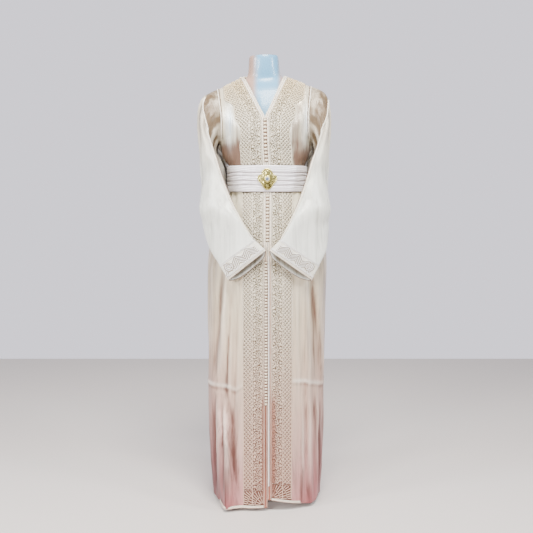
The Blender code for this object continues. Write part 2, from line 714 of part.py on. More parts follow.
button_row("button_row_upper", 1.272, 1.132, BUTTON_PITCH, 0.0054, 0.0, 0.0026)
button_row("button_row_middle", 1.026, 0.872, BUTTON_PITCH, 0.0054, 0.0, 0.0026)
button_row("button_row_lower", 0.810, 0.340, BEAD_PITCH, 0.0038, -0.0052, 0.0030)

edge_path = []
for number in range(19):
    z = 0.826 - number * (0.826 - 0.080) / 18
    spot = centre_line(z, "left")
    run = sub(centre_line(z + 0.01, "left"), centre_line(z - 0.01, "left"))
    facing = unit((0.0, -run[2], run[1]))
    edge_path.append(add(add(spot, (0.0042, 0.0, 0.0)), mul(facing, TRIM_TOP + CORD_RISE + LIFT + 0.0016)))
cord("front_edge_cord", edge_path, 0.0013, "cord")

# Belt, a closed band with its pleats raised outside over a plain inside

BELT_STEPS = 32


def belt_spot(angle, z, out):
    height, half, ahead, behind, square = body_row(BELT_FOOT_ROW, 1.0)
    upper = body_row(BELT_ROW, 1.0)
    share = (z - BELT_FOOT) / (BELT_TOP - BELT_FOOT)
    half += share * (upper[1] - half)
    depth = (ahead + share * (upper[2] - ahead)) if math.cos(angle) > 0 else (behind + share * (upper[3] - behind))
    power = 2.0 / square
    sine, cosine = math.sin(angle), math.cos(angle)
    x = half * math.copysign(abs(sine) ** power, sine)
    y = -depth * math.copysign(abs(cosine) ** power, cosine)
    facing = unit((sine / half, -cosine / depth, 0.0))
    return lean((x + facing[0] * out, y + facing[1] * out, z))


belt_rings = []
for z, rise in BELT:
    belt_rings.append([belt_spot(2 * math.pi * step / BELT_STEPS, z, BELT_INSIDE + rise)
                       for step in range(BELT_STEPS)])
for z in (BELT_FOOT, BELT_TOP):
    belt_rings.append([belt_spot(2 * math.pi * step / BELT_STEPS, z, BELT_INSIDE)
                       for step in range(BELT_STEPS)])
belt_points = [spot for ring in belt_rings for spot in ring]
belt_faces = []
for number in range(len(belt_rings)):
    near, far = number * BELT_STEPS, ((number + 1) % len(belt_rings)) * BELT_STEPS
    for step in range(BELT_STEPS):
        after = (step + 1) % BELT_STEPS
        belt_faces.append([near + step, near + after, far + after, far + step][::-1])
place("belt", belt_points, belt_faces, "belt_satin")

# Buckle: lobed plate, raised drop and its stone

BUCKLE_Z = 1.0757
belt_front = min(spot[1] for spot in belt_points)
# Columns: angle from the top in degrees, distance from the middle
BUCKLE_OUTLINE = [
    (0, 0.0352), (14, 0.0345), (26, 0.0300), (38, 0.0262), (48, 0.0270), (60, 0.0268), (72, 0.0300),
    (84, 0.0322), (96, 0.0318), (108, 0.0290), (120, 0.0256), (132, 0.0258), (144, 0.0262), (156, 0.0290),
    (168, 0.0330), (180, 0.0352),
]
outline = [(math.radians(a), r) for a, r in BUCKLE_OUTLINE]
outline += [(-a, r) for a, r in reversed(outline[1:-1])]


def buckle_plate():
    """Plate with a bevelled rim and a slight dome."""
    levels = [(1.0, 0.0), (1.0, 0.0014), (0.93, 0.0026), (0.80, 0.0022), (0.45, 0.0034)]
    points, faces = [], []
    for share, out in levels:
        for angle, reach in outline:
            points.append(lean((math.sin(angle) * reach * share, belt_front - 0.0005 - out,
                                BUCKLE_Z + math.cos(angle) * reach * share)))
    size = len(outline)
    for level in range(len(levels) - 1):
        for step in range(size):
            here, after = level * size + step, level * size + (step + 1) % size
            faces.append([here, here + size, after + size, after])
    faces.append(list(range(size)))
    faces.append([(len(levels) - 1) * size + step for step in range(size)][::-1])
    return place("buckle_plate", points, faces, "gilt")


def dome(name, centre, half_x, half_z, height, colour, sides=14, levels=3):
    points, faces = [], []
    for level in range(levels):
        turn = math.pi / 2 * level / levels
        for step in range(sides):
            angle = 2 * math.pi * step / sides
            points.append((centre[0] + half_x * math.cos(turn) * math.sin(angle),
                           centre[1] - height * math.sin(turn),
                           centre[2] + half_z * math.cos(turn) * math.cos(angle)))
    points.append((centre[0], centre[1] - height, centre[2]))
    for level in range(levels - 1):
        for step in range(sides):
            here, after = level * sides + step, level * sides + (step + 1) % sides
            faces.append([here, here + sides, after + sides, after])
    for step in range(sides):
        faces.append([(levels - 1) * sides + step, len(points) - 1,
                      (levels - 1) * sides + (step + 1) % sides])
    faces.append(list(range(sides)))
    return place(name, points, faces, colour)


buckle_plate()
face_y = belt_front - 0.0005 - 0.0034
boss_centre = lean((0.0, face_y - 0.0002, BUCKLE_Z + 0.001))
dome("buckle_boss", boss_centre, 0.0105, 0.0125, 0.0042, "gilt")
dome("buckle_stone", add(boss_centre, (0.0, -0.0044, 0.0)), 0.0050, 0.0055, 0.0028, "stone", 12)

# Dress form, a smooth closed body from the hips to the flat top of the neck

FORM_STEPS = 24
form_points, form_faces = [], []
for z, half, ahead, behind in FORM:
    for step in range(FORM_STEPS):
        angle = 2 * math.pi * step / FORM_STEPS
        sine, cosine = math.sin(angle), math.cos(angle)
        depth = ahead if cosine > 0 else behind
        form_points.append(lean((half * math.copysign(abs(sine) ** 0.94, sine),
                                 -depth * math.copysign(abs(cosine) ** 0.94, cosine), z)))
for level in range(len(FORM) - 1):
    for step in range(FORM_STEPS):
        here, after = level * FORM_STEPS + step, level * FORM_STEPS + (step + 1) % FORM_STEPS
        form_faces.append([here, after, after + FORM_STEPS, here + FORM_STEPS])
form_faces.append(list(range(FORM_STEPS))[::-1])
form_faces.append([(len(FORM) - 1) * FORM_STEPS + step for step in range(FORM_STEPS)])
place("form_torso", form_points, form_faces, "form_gloss")


def column(name, radius, low, high, bevel, colour, sides):
    bpy.ops.mesh.primitive_cylinder_add(vertices=sides, radius=radius, depth=high - low,
                                        location=(0.0, 0.0, (low + high) / 2))
    built = bpy.context.active_object
    built.name = name
    built.data.name = name
    for held in list(built.users_collection):
        held.objects.unlink(built)
    part_collection.objects.link(built)
    built.data.materials.append(material(colour))
    if bevel:
        rounding = built.modifiers.new("rounding", "BEVEL")
        rounding.width = bevel
        rounding.segments = 1
        rounding.limit_method = "ANGLE"
        rounding.angle_limit = math.radians(40)
    return built


column("pole", POLE_RADIUS, BASE_THICK + 0.0002, FORM_FOOT - 0.0002, 0.0, "steel", 16)
column("base_plate", BASE_RADIUS, 0.0, BASE_THICK, 0.003, "steel", 32)
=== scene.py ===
"""Looks of a satin takchita standing on its dress form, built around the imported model."""

import logging
import math
from dataclasses import dataclass, field
from enum import Enum
from typing import Iterable, Sequence

import bmesh
import bpy
import numpy as np
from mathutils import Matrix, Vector, noise

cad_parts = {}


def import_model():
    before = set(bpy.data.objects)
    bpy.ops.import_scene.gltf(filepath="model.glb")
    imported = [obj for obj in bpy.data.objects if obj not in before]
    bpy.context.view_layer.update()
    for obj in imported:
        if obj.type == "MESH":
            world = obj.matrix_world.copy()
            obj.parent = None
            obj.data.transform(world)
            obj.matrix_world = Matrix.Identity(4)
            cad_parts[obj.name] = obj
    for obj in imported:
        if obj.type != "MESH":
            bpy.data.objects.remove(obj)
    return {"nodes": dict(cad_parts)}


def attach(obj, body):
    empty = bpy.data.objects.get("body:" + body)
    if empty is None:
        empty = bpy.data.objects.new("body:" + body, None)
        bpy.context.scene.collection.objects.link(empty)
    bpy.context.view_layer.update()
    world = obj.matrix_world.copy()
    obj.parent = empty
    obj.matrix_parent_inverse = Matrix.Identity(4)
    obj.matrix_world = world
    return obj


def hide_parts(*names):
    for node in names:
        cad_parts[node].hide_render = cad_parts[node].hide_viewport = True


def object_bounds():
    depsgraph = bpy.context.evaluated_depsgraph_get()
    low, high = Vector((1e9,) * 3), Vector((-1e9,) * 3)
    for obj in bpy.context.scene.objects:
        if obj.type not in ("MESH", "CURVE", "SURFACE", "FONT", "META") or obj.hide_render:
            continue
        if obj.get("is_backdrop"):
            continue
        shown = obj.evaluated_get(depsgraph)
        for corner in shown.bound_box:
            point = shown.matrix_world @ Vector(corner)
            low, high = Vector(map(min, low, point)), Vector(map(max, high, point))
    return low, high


LOG = logging.getLogger("takchita")
Array = np.ndarray
Numbers = float | Array
Place = tuple[float, float]
Colour = tuple[float, float, float]
Piece = bpy.types.Object
Material = bpy.types.Material
Node = bpy.types.Node
Socket = bpy.types.NodeSocket

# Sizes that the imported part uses, in metres

CLOTH = 0.0012
SLEEVE_CLOTH = 0.0010
SEAM_GAP = 0.00036
LIFT = 0.0003
TRIM_WIDTH = 0.0125
TRIM_THICK = 0.0013
CORD_RISE = 0.0009
PANEL_THICK = 0.0010
CORD_TAPE = 0.0009
BELT_TOP = 1.121
BELT_FOOT = 1.034
BELT_INSIDE = 0.0034
BUCKLE_Z = 1.0757
FREE_HEM = 0.30

# How far the buckle's plate sinks into the belt, and a button tape into the trims

INTO_BELT = 0.0005
SUNK = 0.0004

# Last column of the front trims and of the embroidery in the grid of a front

TRIM_COLUMN = 2
EDGE_COLUMN = 7

# Squareness of the gown's rings above the armpit, and the way across the front

YOKE_SQUARE = 2.2
ASIDE = np.array([1.0, 0.0, 0.0])

# Camera that sees the gown as the picture does

CAMERA_PLACE = (-0.0034, -3.0, 1.008)
PICTURE_SIDE = 533.0
FOCAL_PIXELS = 882.0
CAMERA_TILT = math.pi / 2 - math.atan(66.5 / FOCAL_PIXELS)
CAMERA_SENSOR = 36.0
CAMERA_LENS = CAMERA_SENSOR * FOCAL_PIXELS / PICTURE_SIDE


class Side(Enum):
    """The wearer's side, with the sign of its X."""

    RIGHT = -1.0
    LEFT = 1.0

    @property
    def label(self) -> str:
        """The word that ends a piece's name."""
        return self.name.lower()


# Arithmetic on tables and curves


def ramp(value: Numbers, low: float, high: float) -> Numbers:
    """Smooth step from 0 at low to 1 at high."""
    share = np.clip((value - low) / (high - low), 0.0, 1.0)
    return share * share * (3.0 - 2.0 * share)


def window(value: Numbers, rise: Place, fall: Place) -> Numbers:
    """Smooth step up over one span and down again over another."""
    return ramp(value, *rise) * (1.0 - ramp(value, *fall))


def bell(value: Numbers, centre: Numbers, half: Numbers) -> Numbers:
    """Rounded bump of height 1 about a centre."""
    return np.exp(-(((value - centre) / half) ** 2))


def smooth_curve(knots: Array, values: Array, at: Array) -> Array:
    """Cubic through values at uneven knots.

    Args:
        knots: rising positions of the values.
        values: one row a knot.
        at: positions to read.

    Returns:
        One row for each position in at.
    """
    step = np.diff(knots)
    shape = (-1,) + (1,) * (values.ndim - 1)
    slope = np.diff(values, axis=0) / step.reshape(shape)
    tangent = np.empty_like(values)
    tangent[0], tangent[-1] = slope[0], slope[-1]
    before, after = step[:-1].reshape(shape), step[1:].reshape(shape)
    tangent[1:-1] = (after * slope[:-1] + before * slope[1:]) / (before + after)
    cell = np.clip(np.searchsorted(knots, at, side="right") - 1, 0, len(step) - 1)
    t = ((at - knots[cell]) / step[cell]).reshape(shape)
    h = step[cell].reshape(shape)
    a, b = values[cell], values[cell + 1]
    return (
        a * (2 * t**3 - 3 * t**2 + 1)
        + tangent[cell] * h * (t**3 - 2 * t**2 + t)
        + b * (3 * t**2 - 2 * t**3)
        + tangent[cell + 1] * h * (t**3 - t**2)
    )


def unit(vectors: Array) -> Array:
    """Vectors scaled to length 1 along the last axis."""
    size = np.linalg.norm(vectors, axis=-1, keepdims=True)
    return vectors / np.maximum(size, 1e-12)


# Shape of the gown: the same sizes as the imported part


@dataclass(frozen=True)
class GownCut:
    """Tables of the gown's cut and the surfaces that they describe."""

    v_point: float = 1.278
    v_run: float = 0.469
    shift: float = -0.004
    roll: float = -0.020
    shoulder_rise: float = 0.030
    bust: float = 0.011
    # Columns: height, half width right, half width left, front depth, back depth, squareness
    body: tuple = (
        (0.000, 0.1830, 0.1805, 0.200, 0.176, 2.6),
        (0.009, 0.1835, 0.1810, 0.199, 0.175, 2.6),
        (0.045, 0.1870, 0.1840, 0.194, 0.172, 2.6),
        (0.095, 0.1915, 0.1865, 0.188, 0.168, 2.6),
        (0.160, 0.1965, 0.1885, 0.182, 0.165, 2.5),
        (0.235, 0.2005, 0.1895, 0.176, 0.161, 2.5),
        (0.310, 0.2033, 0.1910, 0.171, 0.157, 2.5),
        (0.365, 0.2037, 0.1918, 0.168, 0.154, 2.5),
        (0.383, 0.2040, 0.1923, 0.168, 0.154, 2.5),
        (0.400, 0.2034, 0.1924, 0.167, 0.153, 2.5),
        (0.470, 0.2025, 0.1945, 0.165, 0.150, 2.5),
        (0.550, 0.2018, 0.1968, 0.162, 0.147, 2.4),
        (0.630, 0.2018, 0.1982, 0.160, 0.144, 2.4),
        (0.710, 0.2028, 0.1995, 0.157, 0.141, 2.4),
        (0.780, 0.2038, 0.2015, 0.154, 0.137, 2.4),
        (0.840, 0.1990, 0.1975, 0.149, 0.131, 2.3),
        (0.895, 0.1860, 0.1850, 0.142, 0.124, 2.3),
        (0.945, 0.1690, 0.1690, 0.134, 0.115, 2.2),
        (0.985, 0.1530, 0.1530, 0.126, 0.106, 2.2),
        (1.034, 0.1280, 0.1280, 0.114, 0.094, 2.2),
        (1.078, 0.1270, 0.1270, 0.113, 0.093, 2.2),
        (1.121, 0.1285, 0.1285, 0.113, 0.094, 2.2),
        (1.152, 0.1435, 0.1435, 0.115, 0.096, 2.2),
        (1.190, 0.1500, 0.1500, 0.119, 0.098, 2.2),
    )
    # Columns: front centre height and depth, back centre height and depth, back neck half width,
    # armhole half width, armhole height, armhole front and back depth, embroidery half width
    yoke: tuple = (
        (1.190, 0.1190, 1.190, 0.098, 0.000, 0.1500, 1.1900, 0.0000, 0.0000, 0.0835),
        (1.212, 0.1205, 1.212, 0.101, 0.000, 0.1465, 1.1990, 0.0290, 0.0270, 0.0805),
        (1.234, 0.1200, 1.234, 0.103, 0.000, 0.1435, 1.2170, 0.0500, 0.0460, 0.0800),
        (1.256, 0.1180, 1.256, 0.104, 0.000, 0.1415, 1.2390, 0.0630, 0.0580, 0.0840),
        (1.278, 0.1130, 1.280, 0.104, 0.000, 0.1410, 1.2640, 0.0690, 0.0650, 0.0960),
        (1.306, 0.1045, 1.310, 0.103, 0.000, 0.1415, 1.2890, 0.0695, 0.0670, 0.1010),
        (1.334, 0.0940, 1.345, 0.100, 0.000, 0.1430, 1.3130, 0.0650, 0.0640, 0.1030),
        (1.362, 0.0830, 1.390, 0.092, 0.000, 0.1450, 1.3360, 0.0560, 0.0560, 0.1290),
        (1.390, 0.0690, 1.402, 0.086, 0.000, 0.1475, 1.3585, 0.0410, 0.0430, 0.1320),
        (1.418, 0.0480, 1.424, 0.070, 0.040, 0.1500, 1.3765, 0.0210, 0.0240, 0.1350),
        (1.450, -0.002, 1.450, 0.002, 0.0656, 0.1515, 1.3850, -0.0020, 0.0020, 0.1370),
    )
    # Columns: side, top x, top height, foot x, foot height, half width, depth
    front_folds: tuple = (
        (-1, 0.099, 0.86, 0.111, 0.30, 0.014, -0.0050),
        (-1, 0.122, 0.84, 0.133, 0.34, 0.016, 0.0045),
        (-1, 0.178, 0.72, 0.148, 0.31, 0.020, -0.0060),
        (-1, 0.129, 0.33, 0.104, 0.00, 0.018, -0.0075),
        (-1, 0.140, 0.27, 0.121, 0.00, 0.025, 0.0500),
        (-1, 0.060, 0.20, 0.060, 0.00, 0.040, 0.0080),
        (-1, 0.172, 0.36, 0.158, 0.02, 0.018, -0.0050),
        (1, 0.094, 0.84, 0.098, 0.30, 0.014, -0.0045),
        (1, 0.118, 0.80, 0.132, 0.32, 0.016, 0.0045),
        (1, 0.144, 0.75, 0.176, 0.30, 0.020, -0.0060),
        (1, 0.116, 0.32, 0.118, 0.00, 0.018, -0.0060),
        (1, 0.150, 0.34, 0.142, 0.00, 0.018, 0.0060),
        (-1, 0.100, 1.03, 0.112, 0.86, 0.013, 0.0040),
        (-1, 0.122, 1.03, 0.150, 0.86, 0.014, -0.0040),
        (1, 0.100, 1.03, 0.112, 0.86, 0.013, 0.0040),
        (1, 0.122, 1.03, 0.150, 0.86, 0.014, -0.0040),
        (-1, 0.108, 1.235, 0.100, 1.13, 0.016, -0.0030),
        (1, 0.108, 1.235, 0.100, 1.13, 0.016, -0.0030),
    )
    # Columns: top x, top height, foot x, foot height, half width, depth; the same on both sides
    back_folds: tuple = (
        (0.030, 1.02, 0.034, 0.00, 0.020, -0.0070),
        (0.066, 1.02, 0.080, 0.00, 0.022, 0.0080),
        (0.096, 1.00, 0.122, 0.00, 0.022, -0.0070),
        (0.120, 0.98, 0.158, 0.00, 0.020, 0.0060),
    )
    # Columns: distance from the centre, height of the hem
    hem_right: tuple = ((0.000, 0.0105), (0.060, 0.0100), (0.127, 0.0095), (0.160, 0.0100), (0.184, 0.0110))
    hem_left: tuple = (
        (0.000, 0.0370), (0.030, 0.0320), (0.058, 0.0270), (0.098, 0.0190), (0.126, 0.0130),
        (0.151, 0.0115), (0.182, 0.0125),
    )
    hem_back: float = 0.0130
    # Columns: height, half width of the embroidery
    embroidery: tuple = ((0.0, 0.078), (0.30, 0.080), (0.70, 0.082), (1.034, 0.083), (1.19, 0.0835))
    # Columns: fold x, y, z, fold shift, back x, y, z, back shift,
    # outward bulge, its rise, its shift, inward bulge, its drop, its shift
    sleeve: tuple = (
        (0.16, -0.075, 1.285, 0.0, 0.158, 0.066, 1.275, 0.0, 0.027, 0.09, 0.0, 0.003, 0.088, 0.0),
        (0.174, -0.083, 1.272, 0.001, 0.169, 0.068, 1.258, 0.001, 0.035, 0.087, 0.001, 0.012, 0.083, 0.0),
        (0.184, -0.088, 1.252, 0.002, 0.174, 0.07, 1.235, 0.001, 0.038, 0.079, 0.001, 0.017, 0.074, 0.0),
        (0.187, -0.092, 1.228, 0.002, 0.16, 0.074, 1.208, 0.001, 0.0465, 0.065, 0.001, 0.0145, 0.063, 0.0),
        (0.18, -0.097, 1.203, 0.002, 0.146, 0.078, 1.178, 0.001, 0.057, 0.047, 0.002, 0.014, 0.05, 0.0),
        (0.17, -0.103, 1.172, 0.003, 0.136, 0.08, 1.142, 0.002, 0.066, 0.03, 0.002, 0.012, 0.037, 0.001),
        (0.158, -0.11, 1.136, 0.006, 0.13, 0.077, 1.102, 0.003, 0.071, 0.016, 0.002, 0.002, 0.024, 0.004),
        (0.144, -0.1195, 1.09, 0.008, 0.134, 0.068, 1.052, 0.004, 0.074, 0.007, 0.003, -0.002, 0.014, 0.006),
        (0.128, -0.131, 1.042, 0.008, 0.156, 0.036, 1.0, 0.005, 0.072, 0.0, 0.003, -0.001, 0.007, 0.006),
        (0.109, -0.144, 0.996, 0.007, 0.19, -0.018, 0.946, 0.005, 0.062, 0.0, 0.003, 0.0, 0.003, 0.003),
        (0.088, -0.155, 0.953, 0.005, 0.201, -0.078, 0.893, 0.003, 0.032, 0.0, 0.0, 0.008, 0.0, 0.0),
        (0.065, -0.165, 0.911, 0.003, 0.188, -0.12, 0.842, -0.003, 0.014, 0.0, 0.0, 0.01, 0.002, 0.0),
        (0.043, -0.172, 0.88, 0.001, 0.161, -0.143, 0.7965, -0.006, 0.0098, 0.0, 0.0, 0.0092, 0.006, 0.0),
        (0.024, -0.1755, 0.862, 0.0, 0.1465, -0.153, 0.773, -0.007, 0.0095, 0.0, 0.0, 0.009, 0.009, 0.0),
        (0.0068, -0.178, 0.845, 0.0, 0.133, -0.162, 0.75, -0.008, 0.0095, 0.0, 0.0, 0.009, 0.012, 0.0),
    )
    front_sides: int = 8
    back_sides: int = 9
    neck_row: int = 7
    back_trim: float = 0.0165

    def lean(self, points: Array) -> Array:
        """The stance: the shoulders sit a little to the wearer's right of the skirt.

        Args:
            points: places on the gown drawn upright.

        Returns:
            The same places on the leaning gown.
        """
        x, y, z = points[..., 0], points[..., 1], points[..., 2]
        upper = ramp(z, 1.04, 1.20)
        across = self.shift * upper + self.roll * np.maximum(0.0, z - 1.05) * upper
        return np.stack([x + across, y, z + self.shoulder_rise * x * ramp(z, 1.15, 1.36)], axis=-1)

    def fold_depth(self, front: bool, side: Side, x: float, z: float) -> float:
        """Depth of the large folds at a place on the front or back.

        Args:
            front: whether the place is on the front.
            side: the wearer's side.
            x: distance from the centre.
            z: height.

        Returns:
            How far the folds raise the cloth there.
        """
        total = 0.0
        rows = self.front_folds if front else [(side.value, *row) for row in self.back_folds]
        for which, top_x, top_z, foot_x, foot_z, half, depth in rows:
            if which != side.value or z > top_z + 0.03 or z < foot_z - 0.02:
                continue
            share = (top_z - z) / (top_z - foot_z)
            centre = top_x + share * (foot_x - top_x)
            foot = 1.0 if foot_z < 0.03 else ramp(z - foot_z + 0.02, 0.0, 0.10)
            total += depth * ramp(top_z + 0.03 - z, 0.0, 0.10) * foot * bell(x, centre, half)
        return float(total)

    def bust_rise(self, x: float, z: float, share: float) -> float:
        """How far the bust stands out."""
        return self.bust * float(bell(x, 0.070, 0.046) * bell(z, 1.232, 0.044)) * (1.0 - share**4)

    def hem_lift(self, side: Side, x: float, z: float, front: bool) -> float:
        """How far the lowest rows are raised to meet the hem.

        Args:
            side: the wearer's side.
            x: distance from the centre.
            z: height.
            front: whether the place is on the front.

        Returns:
            The rise, which fades out at FREE_HEM.
        """
        if z >= FREE_HEM:
            return 0.0
        table = self.hem_right if side is Side.RIGHT else self.hem_left
        edge = table[-1][1]
        if front:
            hem = float(np.interp(x, *zip(*table)))
        else:
            hem = self.hem_back + (edge - self.hem_back) * min(1.0, x / 0.18) ** 3
        return hem * (1.0 - z / FREE_HEM)

    def ring_point(self, index: int, side: Side, x: float, front: bool) -> tuple[float, float, float]:
        """A point of the gown below the armpit.

        Args:
            index: row of the body table.
            side: the wearer's side.
            x: distance from the centre.
            front: whether the point is on the front.

        Returns:
            X, Y and Z before the gown leans.
        """
        height, right, left, ahead, behind, square = self.body[index]
        half = right if side is Side.RIGHT else left
        depth = ahead if front else behind
        share = min(1.0, x / half)
        reach = depth * max(0.0, 1.0 - share**square) ** (1.0 / square)
        slope = share ** (square - 1.0)
        steep = max(1e-6, reach / depth) ** (square - 1.0) / depth
        size = math.hypot(0.3 * slope / half, steep)
        fade = 1.0 if x < half * 0.97 else 0.0
        push = self.fold_depth(front, side, x, height) * fade
        y = reach + push * steep / size + (self.bust_rise(x, height, share) if front else 0.0)
        out = x + push * 0.3 * slope / half / size
        return side.value * out, -y if front else y, height + self.hem_lift(side, x, height, front)

    def yoke_point(self, index: int, side: Side, x: float, front: bool) -> tuple[float, float, float]:
        """A point of the gown above the armpit.

        Args:
            index: row of the yoke table.
            side: the wearer's side.
            x: distance from the centre.
            front: whether the point is on the front.

        Returns:
            X, Y and Z before the gown leans.
        """
        row = self.yoke[index]
        centre_z, centre_y = (row[0], row[1]) if front else (row[2], row[3])
        outer, outer_z, outer_y = row[5], row[6], row[7] if front else row[8]
        share = min(1.0, x / outer)
        power = 0.5 + 0.5 * float(ramp(index, 0, 3))
        span = max(0.0, 1.0 - share**YOKE_SQUARE) ** (power if index else 1.0 / YOKE_SQUARE)
        z = centre_z + (outer_z - centre_z) * share
        y = outer_y + (centre_y - outer_y) * span
        if front:
            y += self.bust_rise(x, z, share) + (self.fold_depth(True, side, x, z) if share < 0.97 else 0.0)
        return side.value * x, -y if front else y, z

    def neck_x(self, index: int) -> float:
        """Half width of the front opening at a yoke row.

        Args:
            index: row of the yoke table.

        Returns:
            The half width, 0 below the neckline's point.
        """
        row = self.yoke[index]
        if row[0] <= self.v_point + 1e-9:
            return 0.0
        return (row[0] - self.v_point) / (1.0 / self.v_run + (row[0] - row[6]) / row[5])

    def front_columns(self, inner: float, edge: float, outer: float, square: float,
                      turned: float) -> list[float]:
        """Distances from the centre: trim, embroidery, then the open side of the panel.

        Args:
            inner: distance of the front edge.
            edge: distance of the embroidery's outer edge.
            outer: distance of the side seam or armhole.
            square: squareness of the ring.
            turned: 0 for columns spaced round the ring, 1 for even ones.

        Returns:
            One distance a column.
        """
        start = inner + TRIM_WIDTH
        row = [inner, inner + TRIM_WIDTH / 2, start]
        row += [start + share * (edge - start) for share in (0.2, 0.4, 0.6, 0.8, 1.0)]
        first = math.asin(min(1.0, (edge / outer) ** (square / 2.0)))
        for step in range(1, self.front_sides + 1):
            share = step / self.front_sides
            curved = outer * math.sin(first + share * (math.pi / 2 - first)) ** (2.0 / square)
            straight = edge + share * (outer - edge)
            row.append(curved + turned * (straight - curved))
        row[-1] = outer
        return row

    def front(self, side: Side) -> Array:
        """Grid of a front panel, hem to shoulder seam, front edge to side seam.

        Args:
            side: the wearer's side.

        Returns:
            Rows by columns of points.
        """
        rows = []
        last = len(self.body) - 1
        for index, line in enumerate(self.body[:-1]):
            height, half, square = line[0], line[1 if side is Side.RIGHT else 2], line[5]
            edge = float(np.interp(height, *zip(*self.embroidery)))
            columns = self.front_columns(0.0, edge, half, square, 0.0)
            rows.append([self.ring_point(index, side, x, True) for x in columns])
        for index, line in enumerate(self.yoke):
            turned = float(ramp(index, 0, 3))
            columns = self.front_columns(self.neck_x(index), line[9], line[5], YOKE_SQUARE, turned)
            if index:
                rows.append([self.yoke_point(index, side, x, True) for x in columns])
            else:
                rows.append([self.ring_point(last, side, x, True) for x in columns])
        return self.lean(np.array(rows))

    def back(self, side: Side) -> Array:
        """Grid of half the back, hem to shoulder seam, centre to side seam.

        Args:
            side: the wearer's side.

        Returns:
            Rows by columns of points.
        """
        rows = []
        turn = math.pi / 2 / self.back_sides
        for index, line in enumerate(self.body):
            half, square = line[1 if side is Side.RIGHT else 2], line[5]
            steps = range(self.back_sides + 1)
            columns = [half * math.sin(turn * step) ** (2.0 / square) for step in steps]
            rows.append([self.ring_point(index, side, x, False) for x in columns])
        last = len(self.yoke) - 1
        for index in range(1, last + 1):
            inner, outer = self.yoke[index][4], self.yoke[index][5]
            inner = self.neck_x(index) if index == last else inner
            columns = []
            for step in range(self.back_sides + 1):
                share = step / self.back_sides
                straight = inner + share * (outer - inner)
                curved = outer * math.sin(math.pi / 2 * share) ** (2.0 / YOKE_SQUARE)
                x = curved + float(ramp(index, 0, 3)) * (straight - curved)
                if index >= self.neck_row and step:
                    first = inner + self.back_trim
                    x = first + (step - 1) / (self.back_sides - 1) * (outer - first)
                columns.append(x)
            rows.append([self.yoke_point(index, side, x, False) for x in columns])
        grid = self.lean(np.array(rows))
        front = self.front(side)
        grid[: len(self.body), -1] = front[: len(self.body), -1]
        grid[-1, -1] = front[-1, -1]
        return grid

    def sleeve_rings(self, side: Side) -> Array:
        """Rings of a sleeve, armhole to cuff: front fold, outer face, back fold, inner face.

        Args:
            side: the wearer's side.

        Returns:
            Rings by points.
        """
        half = len(self.yoke) - 1
        armpit = len(self.body) - 1
        front, back = self.front(side)[armpit:, -1], self.back(side)[armpit:, -1].copy()
        back[-1] = front[-1]
        middle = half // 2
        loop = np.concatenate([front[middle:], back[middle:-1][::-1], back[1:middle][::-1], front[:middle]])
        rings = [loop]
        sign = side.value
        for fx, fy, fz, fs, bx, by, bz, bs, out, rise, out_shift, inward, drop, in_shift in self.sleeve:
            fold = np.array([sign * (fx - sign * fs), fy, fz])
            across = np.array([sign * (bx - sign * bs), by, bz]) - fold
            away = np.array([sign * across[1], -sign * across[0], 0.0])
            away /= np.linalg.norm(away)
            if away[0] * sign < 0:
                away = -away
            outer = away * (out - sign * out_shift) + (0.0, 0.0, rise)
            inner = away * (sign * in_shift - inward) + (0.0, 0.0, -drop)
            ring = []
            for step in range(2 * half):
                upper = step <= half
                along = -math.cos(math.pi * (step if upper else 2 * half - step) / half)
                bulge = math.sqrt(max(0.0, 1.0 - along * along))
                ring.append(fold + across * 0.5 * (1.0 + along) + (outer if upper else inner) * bulge)
            rings.append(self.lean(np.array(ring)))
        return np.array(rings)


# Dense cloth surfaces


